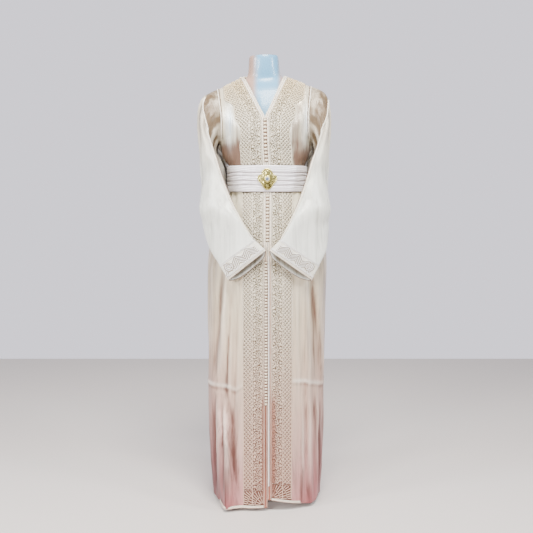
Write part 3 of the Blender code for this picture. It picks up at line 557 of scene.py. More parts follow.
@dataclass
class Cloth:
    """A fine grid of points on a piece of cloth, with the way that it faces.

    Rows run up the piece and columns across it. row_at and col_at are where each fine row and
    column lies among the rows and columns of the grid that it came from.
    """

    points: Array
    row_at: Array
    col_at: Array
    facing: Array
    closed: bool = False
    outward: float = 1.0
    turns: int = 0

    @classmethod
    def from_grid(cls, grid: Array, row_step: float, col_step: Numbers,
                  outward: float, closed: bool = False) -> "Cloth":
        """Fine cloth through a coarse grid.

        Args:
            grid: rows by columns of points.
            row_step: largest distance between fine rows.
            col_step: largest distance between fine columns.
            outward: 1 or -1, so that the cloth faces out.
            closed: whether the columns go round.

        Returns:
            The fine cloth.
        """
        if closed:
            grid = np.concatenate([grid[:, -2:], grid, grid[:, :3]], axis=1)
        rows = np.linalg.norm(np.diff(grid, axis=0), axis=2).mean(axis=1)
        cols = np.linalg.norm(np.diff(grid, axis=1), axis=2).mean(axis=0)
        row_knots, col_knots = np.append(0.0, np.cumsum(rows)), np.append(0.0, np.cumsum(cols))
        row_at = cls._places(rows, row_step)
        col_at = cls._places(cols, col_step)
        if closed:
            col_at = col_at[(col_at >= 2) & (col_at < grid.shape[1] - 3)]
        row_spots = np.interp(row_at, np.arange(len(row_knots)), row_knots)
        col_spots = np.interp(col_at, np.arange(len(col_knots)), col_knots)
        fine = smooth_curve(row_knots, grid, row_spots)
        fine = smooth_curve(col_knots, fine.swapaxes(0, 1), col_spots)
        fine = fine.swapaxes(0, 1)
        cloth = cls(fine, row_at, col_at - (2 if closed else 0), np.zeros_like(fine), closed)
        cloth.turns = grid.shape[1] - 5 if closed else 0
        cloth.face(outward)
        return cloth

    @staticmethod
    def _places(lengths: Array, step: Numbers) -> Array:
        """Fractional indices that split each length into equal parts no longer than step.

        Args:
            lengths: one length for each gap between knots.
            step: largest part, or one for each gap.

        Returns:
            The indices, from 0.
        """
        places = [np.zeros(1)]
        for number, (length, longest) in enumerate(zip(lengths, np.broadcast_to(step, len(lengths)))):
            parts = max(1, math.ceil(length / longest))
            places.append(number + np.arange(1, parts + 1) / parts)
        return np.concatenate(places)

    def face(self, outward: float) -> None:
        """Works out the way the cloth faces at each point.

        Args:
            outward: 1 or -1, so that the cloth faces out.
        """
        down = np.gradient(self.points, axis=0)
        if self.closed:
            along = np.roll(self.points, -1, axis=1) - np.roll(self.points, 1, axis=1)
        else:
            along = np.gradient(self.points, axis=1)
        self.facing = unit(np.cross(along, down)) * outward
        self.outward = outward

    def moved(self, depth: Numbers) -> "Cloth":
        """The same cloth raised along its facing by a depth.

        Args:
            depth: how far, or one number a point.

        Returns:
            The raised cloth, facing as it did.
        """
        depth = np.asarray(depth, float)
        lifted = self.points + self.facing * (depth[..., None] if depth.ndim else depth)
        return Cloth(lifted, self.row_at, self.col_at, self.facing, self.closed, self.outward, self.turns)

    def read(self, row: Array, col: Array) -> tuple[Array, Array]:
        """Points and facings at fractional fine rows and columns.

        Args:
            row: fractional fine rows.
            col: fractional fine columns.

        Returns:
            The points and the facings.
        """
        rows, cols = self.points.shape[:2]
        r0 = np.clip(np.floor(row).astype(int), 0, rows - 2)
        fr = np.clip(row - r0, 0.0, 1.0)[..., None]
        if self.closed:
            c0 = np.floor(col).astype(int)
            fc = (col - c0)[..., None]
            c0, c1 = c0 % cols, (c0 + 1) % cols
        else:
            c0 = np.clip(np.floor(col).astype(int), 0, cols - 2)
            fc = np.clip(col - c0, 0.0, 1.0)[..., None]
            c1 = c0 + 1

        def blend(grid: Array) -> Array:
            """Mixes the four nearest grid values."""
            near = grid[r0, c0] * (1 - fc) + grid[r0, c1] * fc
            far = grid[r0 + 1, c0] * (1 - fc) + grid[r0 + 1, c1] * fc
            return near * (1 - fr) + far * fr

        return blend(self.points), unit(blend(self.facing))

    def metres(self) -> tuple[Array, Array]:
        """Distance across and up the cloth at each point, in metres.

        Returns:
            Distances across, then up.
        """
        across = np.linalg.norm(np.diff(self.points, axis=1), axis=2)
        up = np.linalg.norm(np.diff(self.points, axis=0), axis=2)
        u = np.concatenate([np.zeros((len(self.row_at), 1)), np.cumsum(across, axis=1)], axis=1)
        v = np.concatenate([np.zeros((1, len(self.col_at))), np.cumsum(up, axis=0)], axis=0)
        return u, v

    def area(self) -> float:
        """Area of one face of the cloth.

        Returns:
            Square metres.
        """
        grid = np.concatenate([self.points, self.points[:, :1]], axis=1) if self.closed else self.points
        a = grid[1:, 1:] - grid[:-1, :-1]
        b = grid[1:, :-1] - grid[:-1, 1:]
        return float(np.linalg.norm(np.cross(a, b), axis=2).sum() / 2)

    def patch(self, row_at: Array, col_at: Array, lift: Numbers = 0.0) -> "Cloth":
        """A finer piece of this cloth at given places of the coarse grid, raised by a lift.

        Args:
            row_at: rows of the coarse grid.
            col_at: columns of the coarse grid.
            lift: how far it is raised, or one number a point.

        Returns:
            The patch.
        """
        rows = np.interp(row_at, self.row_at, np.arange(len(self.row_at)))
        spots = self.col_at
        if self.closed:
            spots = np.append(spots, spots[0] + self.turns)
        cols = np.interp(col_at, spots, np.arange(len(spots)))
        grid_r, grid_c = np.meshgrid(rows, cols, indexing="ij")
        points, facing = self.read(grid_r, grid_c)
        lift = np.asarray(lift, float)
        points = points + facing * (lift[..., None] if lift.ndim else lift)
        around = self.closed and len(col_at) > 1 and col_at[-1] - col_at[0] > self.turns - 2.0
        cloth = Cloth(points, np.asarray(row_at, float), np.asarray(col_at, float), facing, around)
        cloth.outward, cloth.turns = self.outward, self.turns
        return cloth

    def solid(self, name: str, thickness: Numbers, drawn: float = 0.0) -> Piece:
        """A closed wall of this cloth: the grid outside, a copy inside and a rim.

        Args:
            name: the piece's name.
            thickness: how far the inside lies below the outside.
            drawn: how far the rim is drawn back from the grid's edge.

        Returns:
            The new object, with its own cloth coordinates as a UV map in metres.
        """
        outer = self.points.copy()
        if drawn:
            inward = np.zeros_like(outer)
            inward[0] += unit(outer[1] - outer[0])
            inward[-1] += unit(outer[-2] - outer[-1])
            if not self.closed:
                inward[:, 0] += unit(outer[:, 1] - outer[:, 0])
                inward[:, -1] += unit(outer[:, -2] - outer[:, -1])
            outer += inward * drawn
        depth = np.asarray(thickness, float)
        inner = outer - self.facing * (depth[..., None] if depth.ndim else depth)
        rows, cols = outer.shape[:2]
        span = cols if self.closed else cols - 1
        r, c = np.meshgrid(np.arange(rows - 1), np.arange(span), indexing="ij")
        here, after = r * cols + c, r * cols + (c + 1) % cols
        top = np.stack([here, after, after + cols, here + cols], axis=-1).reshape(-1, 4)
        if self.outward < 0:
            top = top[:, ::-1]
        under = top[:, ::-1] + rows * cols
        near = np.arange(span)
        far = (near + 1) % cols
        last = (rows - 1) * cols
        border = [np.stack([near, far], axis=-1), np.stack([far, near], axis=-1) + last]
        if not self.closed:
            line = np.arange(rows - 1) * cols
            border.append(np.stack([line + cols, line], axis=-1))
            border.append(np.stack([line + cols - 1, line + 2 * cols - 1], axis=-1))
        edge = np.concatenate(border)
        if self.outward < 0:
            edge = edge[:, ::-1]
        below = edge + rows * cols
        rim = np.stack([edge[:, 1], edge[:, 0], below[:, 0], below[:, 1]], axis=-1)
        faces = np.concatenate([top, under, rim])
        made = make_object(name, np.concatenate([outer.reshape(-1, 3), inner.reshape(-1, 3)]), faces)
        u, v = self.metres()
        flat = np.stack([u.ravel(), v.ravel()], axis=-1)
        write_uv(made.data, np.concatenate([flat, flat]))
        return made


def linked(name: str, data: bpy.types.ID) -> Piece:
    """A new object with the given data, in the scene.

    Args:
        name: name of the object.
        data: its mesh, light or camera.

    Returns:
        The object.
    """
    made = bpy.data.objects.new(name, data)
    bpy.context.scene.collection.objects.link(made)
    return made


def evaluated(source: Piece) -> bpy.types.Mesh:
    """A plain mesh of a piece as its modifiers leave it.

    Args:
        source: the piece.

    Returns:
        The new mesh.
    """
    graph = bpy.context.evaluated_depsgraph_get()
    graph.update()
    return bpy.data.meshes.new_from_object(source.evaluated_get(graph))


def dropped(piece: Piece) -> None:
    """Removes a piece and its mesh.

    Args:
        piece: the piece.
    """
    held = piece.data
    bpy.data.objects.remove(piece)
    bpy.data.meshes.remove(held)


def make_object(name: str, points: Array, faces: Array | Sequence[Sequence[int]] = (),
                edges: Array | Sequence = ()) -> Piece:
    """A linked mesh object in the row frame, shaded smooth.

    Args:
        name: name of the object and its mesh.
        points: one place a vertex.
        faces: vertex numbers of each face.
        edges: vertex numbers of each loose edge.

    Returns:
        The object.
    """
    mesh = bpy.data.meshes.new(name)
    loops = faces.tolist() if isinstance(faces, np.ndarray) else list(faces)
    mesh.from_pydata(np.asarray(points).tolist(), np.asarray(edges).tolist(), loops)
    mesh.update()
    if len(mesh.polygons):
        mesh.polygons.foreach_set("use_smooth", [True] * len(mesh.polygons))
    return linked(name, mesh)


def write_uv(mesh: bpy.types.Mesh, places: Array) -> None:
    """Gives every corner the cloth coordinates of its point.

    Args:
        mesh: the mesh.
        places: one pair of coordinates a vertex.
    """
    layer = mesh.uv_layers.new(name="cloth")
    corners = np.empty(len(mesh.loops), np.int32)
    mesh.loops.foreach_get("vertex_index", corners)
    layer.data.foreach_set("uv", places[corners].astype(np.float32).ravel())


def write_tone(made: Piece, name: str, values: Array) -> None:
    """Stores one number a point for the finish to read.

    Args:
        made: the piece.
        name: name of the attribute.
        values: one number a point, or one a point of its outer face.
    """
    layer = made.data.attributes.new(name, "FLOAT", "POINT")
    values = np.asarray(values, np.float32).ravel()
    if len(values) * 2 == len(made.data.vertices):
        values = np.concatenate([values, values])
    layer.data.foreach_set("value", values)


def mark_sharp(made: Piece, degrees: float = 50.0) -> None:
    """Keeps the creases of a mesh crisp where its faces turn sharply.

    Args:
        made: the piece.
        degrees: turn above which an edge is crisp.
    """
    shape = bmesh.new()
    shape.from_mesh(made.data)
    limit = math.radians(degrees)
    for edge in shape.edges:
        edge.smooth = not (len(edge.link_faces) == 2 and edge.calc_face_angle(0.0) > limit)
    shape.to_mesh(made.data)
    shape.free()


# Finishes: shader maths as expressions


class Value:
    """A shader socket that takes part in arithmetic; an expression adds its Math nodes."""

    def __init__(self, shade: "Shade", socket: Socket) -> None:
        """Keeps the socket and the finish that it belongs to."""
        self.shade = shade
        self.socket = socket

    def maths(self, operation: str, *others: "Value | float",
              first: "Value | float | None" = None) -> "Value":
        """One Math node on this value and others.

        Args:
            operation: Blender's name of the operation.
            others: further inputs.
            first: an input that goes before this value.

        Returns:
            The result.
        """
        ordered = [self if first is None else first, *([] if first is None else [self]), *others]
        node = self.shade.node("ShaderNodeMath", {"operation": operation}, dict(enumerate(ordered)))
        return Value(self.shade, node.outputs[0])

    def __add__(self, other: "Value | float") -> "Value":
        """Sum."""
        return self.maths("ADD", other)

    def __sub__(self, other: "Value | float") -> "Value":
        """Difference."""
        return self.maths("SUBTRACT", other)

    def __mul__(self, other: "Value | float") -> "Value":
        """Product."""
        return self.maths("MULTIPLY", other)

    def __truediv__(self, other: "Value | float") -> "Value":
        """Quotient."""
        return self.maths("DIVIDE", other)

    def __rsub__(self, other: float) -> "Value":
        """A number less this value."""
        return self.maths("SUBTRACT", first=other)

    def __rtruediv__(self, other: float) -> "Value":
        """A number divided by this value."""
        return self.maths("DIVIDE", first=other)

    __radd__ = __add__
    __rmul__ = __mul__

    def between(self, low: float, high: float) -> "Value":
        """Share of the way from low to high, kept between 0 and 1."""
        node = self.shade.node(
            "ShaderNodeMapRange",
            {"interpolation_type": "SMOOTHSTEP"},
            {"Value": self, "From Min": low, "From Max": high},
        )
        return Value(self.shade, node.outputs["Result"])

    def sine(self) -> "Value":
        """Sine of the value in radians."""
        return self.maths("SINE")

    def swing(self, width: float) -> "Value":
        """Noise between 0 and 1 turned into a swing about 0."""
        return (self - 0.5) * width


class Shade:
    """A material being put together on its Principled BSDF."""

    def __init__(self, name: str) -> None:
        """Starts an empty finish.

        Args:
            name: name of the material.
        """
        self.material = bpy.data.materials.new(name)
        self.material.use_nodes = True
        self.tree = self.material.node_tree
        self.skin = self.tree.nodes["Principled BSDF"]
        self.place = self.node("ShaderNodeTexCoord").outputs["Object"]
        self.relief: Socket | None = None

    def node(self, kind: str, settings: dict | None = None, inputs: dict | None = None) -> Node:
        """A node of any kind.

        Args:
            kind: Blender's name of the node type.
            settings: the node's own choices, set first. A ramp's stops go in as "stops".
            inputs: values or links of its sockets, by name or number.

        Returns:
            The node.
        """
        made = self.tree.nodes.new(kind)
        for key, value in (settings or {}).items():
            if key == "stops":
                while len(made.color_ramp.elements) < len(value):
                    made.color_ramp.elements.new(0.5)
                for element, (position, colour) in zip(made.color_ramp.elements, value):
                    element.position = position
                    element.color = (*colour, 1.0)
            else:
                setattr(made, key, value)
        for key, value in (inputs or {}).items():
            self.feed(made.inputs[key], value)
        return made

    def feed(self, socket: Socket, value: "Value | Socket | float | Sequence[float]") -> None:
        """Sets a socket to a number or links it.

        Args:
            socket: input to fill.
            value: number, colour or output.
        """
        if isinstance(value, Value):
            value = value.socket
        if isinstance(value, Socket):
            self.tree.links.new(value, socket)
        else:
            socket.default_value = value

    def stretched(self, scale: Sequence[float]) -> Socket:
        """Object coordinates, scaled along each axis."""
        inputs = {"Vector": self.place, "Scale": scale}
        return self.node("ShaderNodeMapping", {"vector_type": "POINT"}, inputs).outputs["Vector"]

    def axis(self, name: str) -> Value:
        """One of the object coordinates."""
        node = self.node("ShaderNodeSeparateXYZ", None, {0: self.place})
        return Value(self, node.outputs[name])

    def beside_edge(self) -> Value:
        """Share of the rose that shows beside the open front edges, low on the skirt.

        Returns:
            The share.
        """
        z = self.axis("Z")
        across = (self.axis("X") - EDGE_MIDDLE).maths("ABSOLUTE")
        return across.between(*EDGE_HALF) * z.between(*EDGE_TOP) * z.between(*EDGE_FOOT)

    def tone(self, name: str) -> Value:
        """A number that the piece stores at its points."""
        node = self.node("ShaderNodeAttribute", {"attribute_name": name, "attribute_type": "GEOMETRY"})
        return Value(self, node.outputs["Fac"])

    def noise(self, scale: Sequence[float], detail: float) -> Value:
        """Cloud noise on stretched object coordinates, from 0 to 1."""
        inputs = {"Vector": self.stretched(scale), "Scale": 1.0, "Detail": detail, "Roughness": 0.55}
        return Value(self, self.node("ShaderNodeTexNoise", None, inputs).outputs["Fac"])

    def cells(self, scale: Sequence[float]) -> Value:
        """Distance to scattered cell points."""
        inputs = {"Vector": self.stretched(scale), "Scale": 1.0}
        return Value(self, self.node("ShaderNodeTexVoronoi", None, inputs).outputs["Distance"])

    def ramp(self, value: Value, stops: Iterable[tuple[float, Colour]]) -> Socket:
        """Colour read from a ramp."""
        return self.node("ShaderNodeValToRGB", {"stops": tuple(stops)}, {"Fac": value}).outputs["Color"]

    def grey(self, value: Value) -> Socket:
        """The same value in all three channels of a colour."""
        return self.node("ShaderNodeCombineColor", None, {0: value, 1: value, 2: value}).outputs[0]

    def mix(self, share: Value | float, first: "Socket | Colour", second: "Socket | Colour",
            way: str = "MIX") -> Socket:
        """Two colours mixed by a share.

        Args:
            share: share of the second colour.
            first: a colour or socket.
            second: a colour or socket.
            way: Blender's name of the blend.

        Returns:
            The mixed colour.
        """
        node = self.node("ShaderNodeMix", {"data_type": "RGBA", "blend_type": way})
        self.feed(node.inputs[0], share)
        for number, colour in ((6, first), (7, second)):
            self.feed(node.inputs[number], (*colour, 1.0) if isinstance(colour, tuple) else colour)
        return node.outputs[2]

    def bump(self, height: Value, distance: float, strength: float = 1.0) -> None:
        """Adds relief to the finish, on top of what it has.

        Args:
            height: height of the relief.
            distance: its depth in metres.
            strength: how strongly it shows.
        """
        inputs = {"Height": height, "Distance": distance, "Strength": strength}
        if self.relief is not None:
            inputs["Normal"] = self.relief
        self.relief = self.node("ShaderNodeBump", None, inputs).outputs["Normal"]

    def done(self, colour: "Socket | Colour", rough: Value | float, metal: float = 0.0,
             **fixed: float) -> Material:
        """Joins the colour, roughness and relief to the skin.

        Args:
            colour: base colour, a socket or three numbers.
            rough: roughness.
            metal: metallic share.
            fixed: other sockets of the skin by name, with _ for a space; numbers only.

        Returns:
            The finished material.
        """
        self.feed(self.skin.inputs["Base Color"], (*colour, 1.0) if isinstance(colour, tuple) else colour)
        self.feed(self.skin.inputs["Roughness"], rough)
        self.feed(self.skin.inputs["Metallic"], metal)
        for name, value in fixed.items():
            self.feed(self.skin.inputs[name.replace("_", " ")], value)
        if self.relief is not None:
            self.feed(self.skin.inputs["Normal"], self.relief)
        return self.material


def srgb(red: float, green: float, blue: float) -> Colour:
    """A colour read off a screen, 0 to 255, as the linear values that a shader takes."""
    shares = [value / 255 for value in (red, green, blue)]
    return tuple(((c + 0.055) / 1.055) ** 2.4 if c > 0.04 else c / 12.92 for c in shares)


GOWN_HEIGHT = 1.5

# Noise scales of the finishes, in swings a metre along X, Y and Z

STREAKS = (55.0, 55.0, 3.0)
FINE_STREAKS = (190.0, 190.0, 6.0)
CLOUDS = (16.0, 16.0, 9.0)
WAVES = (38.0, 38.0, 3.0)
THREADS = (2600.0, 2600.0, 160.0)
STITCH_BLOCKS = (120.0, 60.0, 120.0)
THREAD_CLOUDS = (60.0, 60.0, 60.0)
METAL_WEAR = (260.0, 260.0, 260.0)
METAL_GRAIN = (1900.0, 1900.0, 1900.0)
PAINT_CLOUDS = (9.0, 9.0, 9.0)
PAINT_WAVES = (70.0, 70.0, 70.0)
PAINT_WEAR = (140.0, 140.0, 30.0)

# Rose of the cords beside the open front edges: colour, middle, half width, top and foot

EDGE_ROSE = srgb(206, 168, 158)
EDGE_MIDDLE = 0.0035
EDGE_HALF = (0.0260, 0.0190)
EDGE_TOP = (0.40, 0.33)
EDGE_FOOT = (0.03, 0.07)


@dataclass(frozen=True)
class Satin:
    """Woven satin whose colour runs with the height, from champagne to dusty rose, under painted shade and
    painted highlight.
    """

    name: str
    stops: tuple[tuple[float, Colour], ...]
    # colour that the painted shade multiplies in
    hollow: Colour
    rough: float = 0.36
    sheen: float = 0.10
    mottle: float = 0.07
    gleam: float = 0.28
    streaks: float = 0.24
    # Painted highlight: its warm colour low on the gown, its bluish colour over the bust, and the heights
    # where one gives way to the other
    ridge: Colour = (0.96, 0.90, 0.80)
    gloss: Colour = (0.80, 0.92, 1.0)
    gloss_from: Place = (0.98, 1.10)
    side_from: float = 0.125
    side_rise: float = 0.9
    side_span: Place = (0.95, 0.35)
    dull: float = 0.14
    dull_below: Place = (0.55, 0.25)

    def make(self) -> Material:
        """Builds the material.

        Returns:
            The material.
        """
        shade = Shade(self.name)
        x, z = shade.axis("X"), shade.axis("Z")
        streak = shade.noise(STREAKS, 4.0)
        fine = shade.noise(FINE_STREAKS, 3.0)
        cloud = shade.noise(CLOUDS, 3.0)
        threads = shade.noise(THREADS, 2.0)
        side = (x.maths("ABSOLUTE") - self.side_from) * self.side_rise * z.between(*self.side_span)
        base = shade.ramp(z / GOWN_HEIGHT - side + cloud.swing(0.05), self.stops)
        # painted shade: dark streaks of the sheen, plus the share that the piece stores for its valleys and
        # undersides
        deep = streak.between(0.52, 0.34) * self.streaks + fine.between(0.50, 0.30) * (0.5 * self.streaks)
        base = shade.mix((shade.tone("hollow") + deep).between(0.0, 1.0), base, self.hollow, "MULTIPLY")
        # painted highlight where the piece stores it, warm low down and bluish from the bust up
        pale = shade.mix(z.between(*self.gloss_from), self.ridge, self.gloss)
        base = shade.mix(shade.tone("ridge"), base, pale)
        # painted sheen in light and dark streaks, with a random mottle
        light = streak.swing(5.0 * self.mottle) + fine.swing(2.5 * self.mottle)
        light = light + cloud.swing(self.mottle) + 1.0
        base = shade.mix(1.0, base, shade.grey(light), "MULTIPLY")
        shade.bump(shade.noise(WAVES, 4.0), 0.0050, 0.9)
        shade.bump(threads, 0.00012, 0.5)
        worn = z.between(*self.dull_below) * self.dull
        rough = self.rough + streak.swing(0.16) + threads.swing(0.08) + worn
        return shade.done(base, rough, self.gleam, Sheen_Weight=self.sheen, Sheen_Roughness=0.35)


@dataclass(frozen=True)
class Needlework:
    """Ground of the embroidered panels: closely stitched thread in small slanted blocks."""

    name: str
    light: Colour
    dark: Colour
    foot_light: Colour
    foot_dark: Colour
    pitch: float = 0.0016
    foot_span: Place = (0.80, 0.02)

    def make(self) -> Material:
        """Builds the material.

        Returns:
            The material.
        """
        shade = Shade(self.name)
        turn = 2.0 * math.pi / self.pitch
        x, z = shade.axis("X"), shade.axis("Z")
        patch = shade.cells(STITCH_BLOCKS)
        slant = ((x + z) * turn + patch * 9.0).sine() * 0.5 + 0.5
        cross = ((x - z) * (turn * 0.5)).sine() * 0.5 + 0.5
        stitch = slant * 0.7 + cross * 0.3
        # the dark colours are partly the thread's colour and partly painted shade between the raised cords
        foot = z.between(*self.foot_span)
        low = shade.mix(foot, self.dark, self.foot_dark)
        high = shade.mix(foot, self.light, self.foot_light)
        mark = (stitch * 0.65 + patch * 0.5).between(0.15, 0.75)
        base = shade.mix(mark, low, high)
        shade.bump(stitch, 0.0005, 0.8)
        shade.bump(patch, 0.0006, 0.6)
        return shade.done(base, 0.55 - stitch * 0.12, Sheen_Weight=0.3, Sheen_Roughness=0.4)


@dataclass(frozen=True)
class Thread:
    """Silk cord, beads and braid: one colour with fine winding marks."""

    name: str
    light: Colour
    dark: Colour
    pitch: float = 0.0011
    rough: float = 0.42
    foot: Colour | None = None
    sheen: float = 0.35
    foot_span: Place = (0.88, 0.08)
    tint: tuple[tuple[float, Colour], ...] | None = None
    edge_rose: bool = False

    def make(self) -> Material:
        """Builds the material.

        Returns:
            The material.
        """
        shade = Shade(self.name)
        x, y, z = (shade.axis(name) for name in "XYZ")
        turn = 2.0 * math.pi / self.pitch
        winding = ((x + y * 0.7 + z * 0.8) * turn).sine() * 0.5 + 0.5
        cloud = shade.noise(THREAD_CLOUDS, 2.0)
        base = shade.mix((winding * 0.7 + cloud * 0.5).between(0.1, 0.85), self.dark, self.light)
        if self.foot:
            base = shade.mix(z.between(*self.foot_span) * 0.92, base, self.foot)
        if self.tint:
            base = shade.mix(1.0, base, shade.ramp(z / GOWN_HEIGHT, self.tint), "MULTIPLY")
        if self.edge_rose:
            base = shade.mix(shade.beside_edge(), base, EDGE_ROSE, "MULTIPLY")
        shade.bump(winding, 0.0003, 0.7)
        return shade.done(base, self.rough + cloud.swing(0.2), Sheen_Weight=self.sheen, Sheen_Roughness=0.4)


@dataclass(frozen=True)
class Gilt:
    """Gilded brass with painted shade in its recesses, and patchy wear."""

    name: str
    bright: Colour
    dull: Colour

    def make(self) -> Material:
        """Builds the material.

        Returns:
            The material.
        """
        shade = Shade(self.name)
        worn = shade.noise(METAL_WEAR, 4.0)
        grain = shade.noise(METAL_GRAIN, 2.0)
        # the stored share is painted shade
        hollow = shade.tone("hollow")
        base = shade.mix((hollow + worn.swing(0.5)).between(0.15, 0.85), self.bright, self.dull)
        shade.bump(grain, 0.00012, 0.6)
        shade.bump(worn, 0.0003, 0.4)
        return shade.done(base, 0.24 + hollow * 0.22 + worn.swing(0.18), 1.0)


@dataclass(frozen=True)
class Gloss:
    """Glossy moulded plastic, paint or stone under a clear coat."""

    name: str
    middle: Colour
    edge: Colour
    rough: float = 0.2
    coat: float = 0.5
    metal: float = 0.0
    edge_at: float = 0.05
    wear: float = 0.03

    def make(self) -> Material:
        """Builds the material.

        Returns:
            The material.
        """
        shade = Shade(self.name)
        # towards its sides a piece turns to its edge colour: on the form a painted warm reflection, on the
        # stone a darker side
        away = shade.axis("X").maths("ABSOLUTE").between(self.edge_at * 0.5, self.edge_at)
        cloud = shade.noise(PAINT_CLOUDS, 3.0)
        base = shade.mix(away * 0.8 + cloud.swing(0.2), self.middle, self.edge)
        shade.bump(shade.noise(PAINT_WAVES, 3.0), 0.0002, 0.3)
        rough = self.rough + shade.noise(PAINT_WEAR, 4.0).swing(2.0 * self.wear)
        return shade.done(base, rough, self.metal, Coat_Weight=self.coat, Coat_Roughness=0.08)


SATIN_STOPS = (
    (0.00, srgb(180, 106, 110)),
    (0.05, srgb(198, 140, 138)),
    (0.13, srgb(208, 168, 158)),
    (0.27, srgb(218, 190, 170)),
    (0.42, srgb(230, 212, 184)),
    (0.56, srgb(236, 224, 198)),
    (0.80, srgb(234, 228, 206)),
    (1.00, srgb(222, 206, 174)),
)
BELT_STOPS = ((0.0, srgb(232, 226, 230)), (1.0, srgb(240, 236, 240)))
SHOULDER_TINT = ((0.85, srgb(255, 255, 255)), (0.925, srgb(244, 230, 200)))
TRIM_TINT = (
    (0.03, srgb(176, 116, 104)),
    (0.10, srgb(138, 90, 78)),
    (0.21, srgb(146, 96, 82)),
    (0.25, srgb(176, 132, 116)),
    (0.52, srgb(196, 164, 148)),
    (0.58, srgb(255, 255, 255)),
)
SLEEVE_STOPS = (
    (0.00, srgb(232, 232, 220)),
    (0.60, srgb(234, 236, 228)),
    (0.74, srgb(232, 232, 220)),
    (0.83, srgb(216, 206, 186)),
    (0.90, srgb(216, 206, 186)),
    (1.00, srgb(224, 214, 194)),
)


class Finishes:
    """Every finish of the gown, its buckle and its stand."""

    def __init__(self) -> None:
        """Builds the materials once."""
        # the second colour of each satin is the colour of its painted shade
        self.gown = Satin("gown_satin", SATIN_STOPS, srgb(140, 114, 108), mottle=0.10).make()
        self.sleeve = Satin("sleeve_satin_cloth", SLEEVE_STOPS, srgb(126, 110, 92), 0.42,
                            mottle=0.11, gleam=0.10, streaks=0.18).make()
        self.belt = Satin("belt_satin_cloth", BELT_STOPS, srgb(138, 112, 116), 0.34,
                          sheen=0.2, mottle=0.03, gleam=0.15, streaks=0.08).make()
        self.needlework = Needlework("needlework_ground", srgb(128, 116, 88), srgb(60, 50, 34),
                                     srgb(120, 70, 54), srgb(58, 28, 22)).make()
        self.cuff_ground = Needlework("cuff_needlework", srgb(255, 252, 238), srgb(206, 198, 176),
                                      srgb(255, 252, 238), srgb(206, 198, 176)).make()
        cord = Thread("silk_cord", srgb(255, 250, 236), srgb(226, 212, 188),
                      foot=srgb(222, 184, 166)).make()
        couching = Thread("couched_cord", srgb(248, 240, 220), srgb(206, 188, 158), 0.0008,
                          foot=srgb(216, 178, 156), tint=SHOULDER_TINT, edge_rose=True).make()
        bead = Thread("glass_bead", srgb(246, 238, 222), srgb(222, 206, 184), 0.004, 0.18,
                      foot=srgb(238, 206, 188), sheen=0.0).make()
        button = Thread("passementerie_button", srgb(252, 242, 220), srgb(214, 188, 150),
                        0.0016, 0.35).make()
        white_cord = Thread("white_cord", srgb(255, 254, 252), srgb(236, 232, 230), rough=0.34).make()
        # painted shadow beside the cuff's chevrons, drawn as a dark thread
        chevron_shadow = Thread("tan_thread", srgb(146, 122, 90), srgb(98, 76, 50)).make()
        self.cord = cord
        self.hem = Thread("hem_tape_weave", srgb(255, 250, 232), srgb(232, 220, 196), 0.0013).make()
        self.rose_trim = Thread("front_trim_braid", srgb(250, 240, 222), srgb(220, 202, 178), 0.0013,
                                tint=TRIM_TINT).make()
        # painted shadow, drawn as dark tape and thread beside the trims, the piping, the cuff cords and
        # under the buttons
        self.gap = Thread("shaded_tape", srgb(128, 98, 76), srgb(76, 52, 38), 0.0016, 0.6,
                          srgb(120, 66, 48)).make()
        self.gilt = Gilt("gilded_metal", srgb(238, 226, 140), srgb(88, 76, 38)).make()
        self.stone = Gloss("smoky_stone", srgb(96, 110, 132), srgb(60, 70, 92), 0.06, 1.0,
                           edge_at=0.004).make()
        self.enamel = Gloss("white_enamel", srgb(248, 246, 238), srgb(236, 230, 214), 0.2, 0.6,
                            edge_at=0.02).make()
        # the form's second colour is a painted warm reflection on its sides
        self.form = Gloss("form_plastic", srgb(104, 160, 196), srgb(182, 134, 96), 0.36, 0.2,
                          edge_at=0.052).make()
        self.steel = Gloss("brushed_stand_steel", srgb(196, 196, 198), srgb(188, 188, 190), 0.34, 0.0, 1.0,
                           edge_at=0.2, wear=0.12).make()
        self.couched = cord_pattern("couched_cords", couching)
        self.shade_line = cord_pattern("shaded_lines", self.gap)
        self.tan_line = cord_pattern("tan_lines", chevron_shadow)
        self.plain_cord = cord_pattern("piping_cords", cord)
        self.twisted = cord_pattern("twisted_cords", cord, 3)
        self.white_line = cord_pattern("white_cords", white_cord)
        self.beads = bead_pattern("beads", bead)
        self.knots = bead_pattern("knots", button)


def dress(made: Piece, material: Material) -> Piece:
    """Gives a piece its one finish.

    Args:
        made: the piece.
        material: its finish.

    Returns:
        The piece.
    """
    made.data.materials.clear()
    made.data.materials.append(material)
    return made


def seat(made: Piece, slot: str, *nodes: str) -> Piece:
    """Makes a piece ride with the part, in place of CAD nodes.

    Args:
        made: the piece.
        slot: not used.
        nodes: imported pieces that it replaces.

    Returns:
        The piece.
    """
    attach(made, "root")
    if nodes:
        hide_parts(*nodes)
    LOG.info("%s: %d faces", made.name, len(made.data.polygons))
    return made


# Geometry Nodes for what repeats or follows a path

# Swell of a twisted cord's strands, and their mean reach, as shares of its radius

STRAND_SWING = 0.16
STRAND_MIDDLE = 0.90


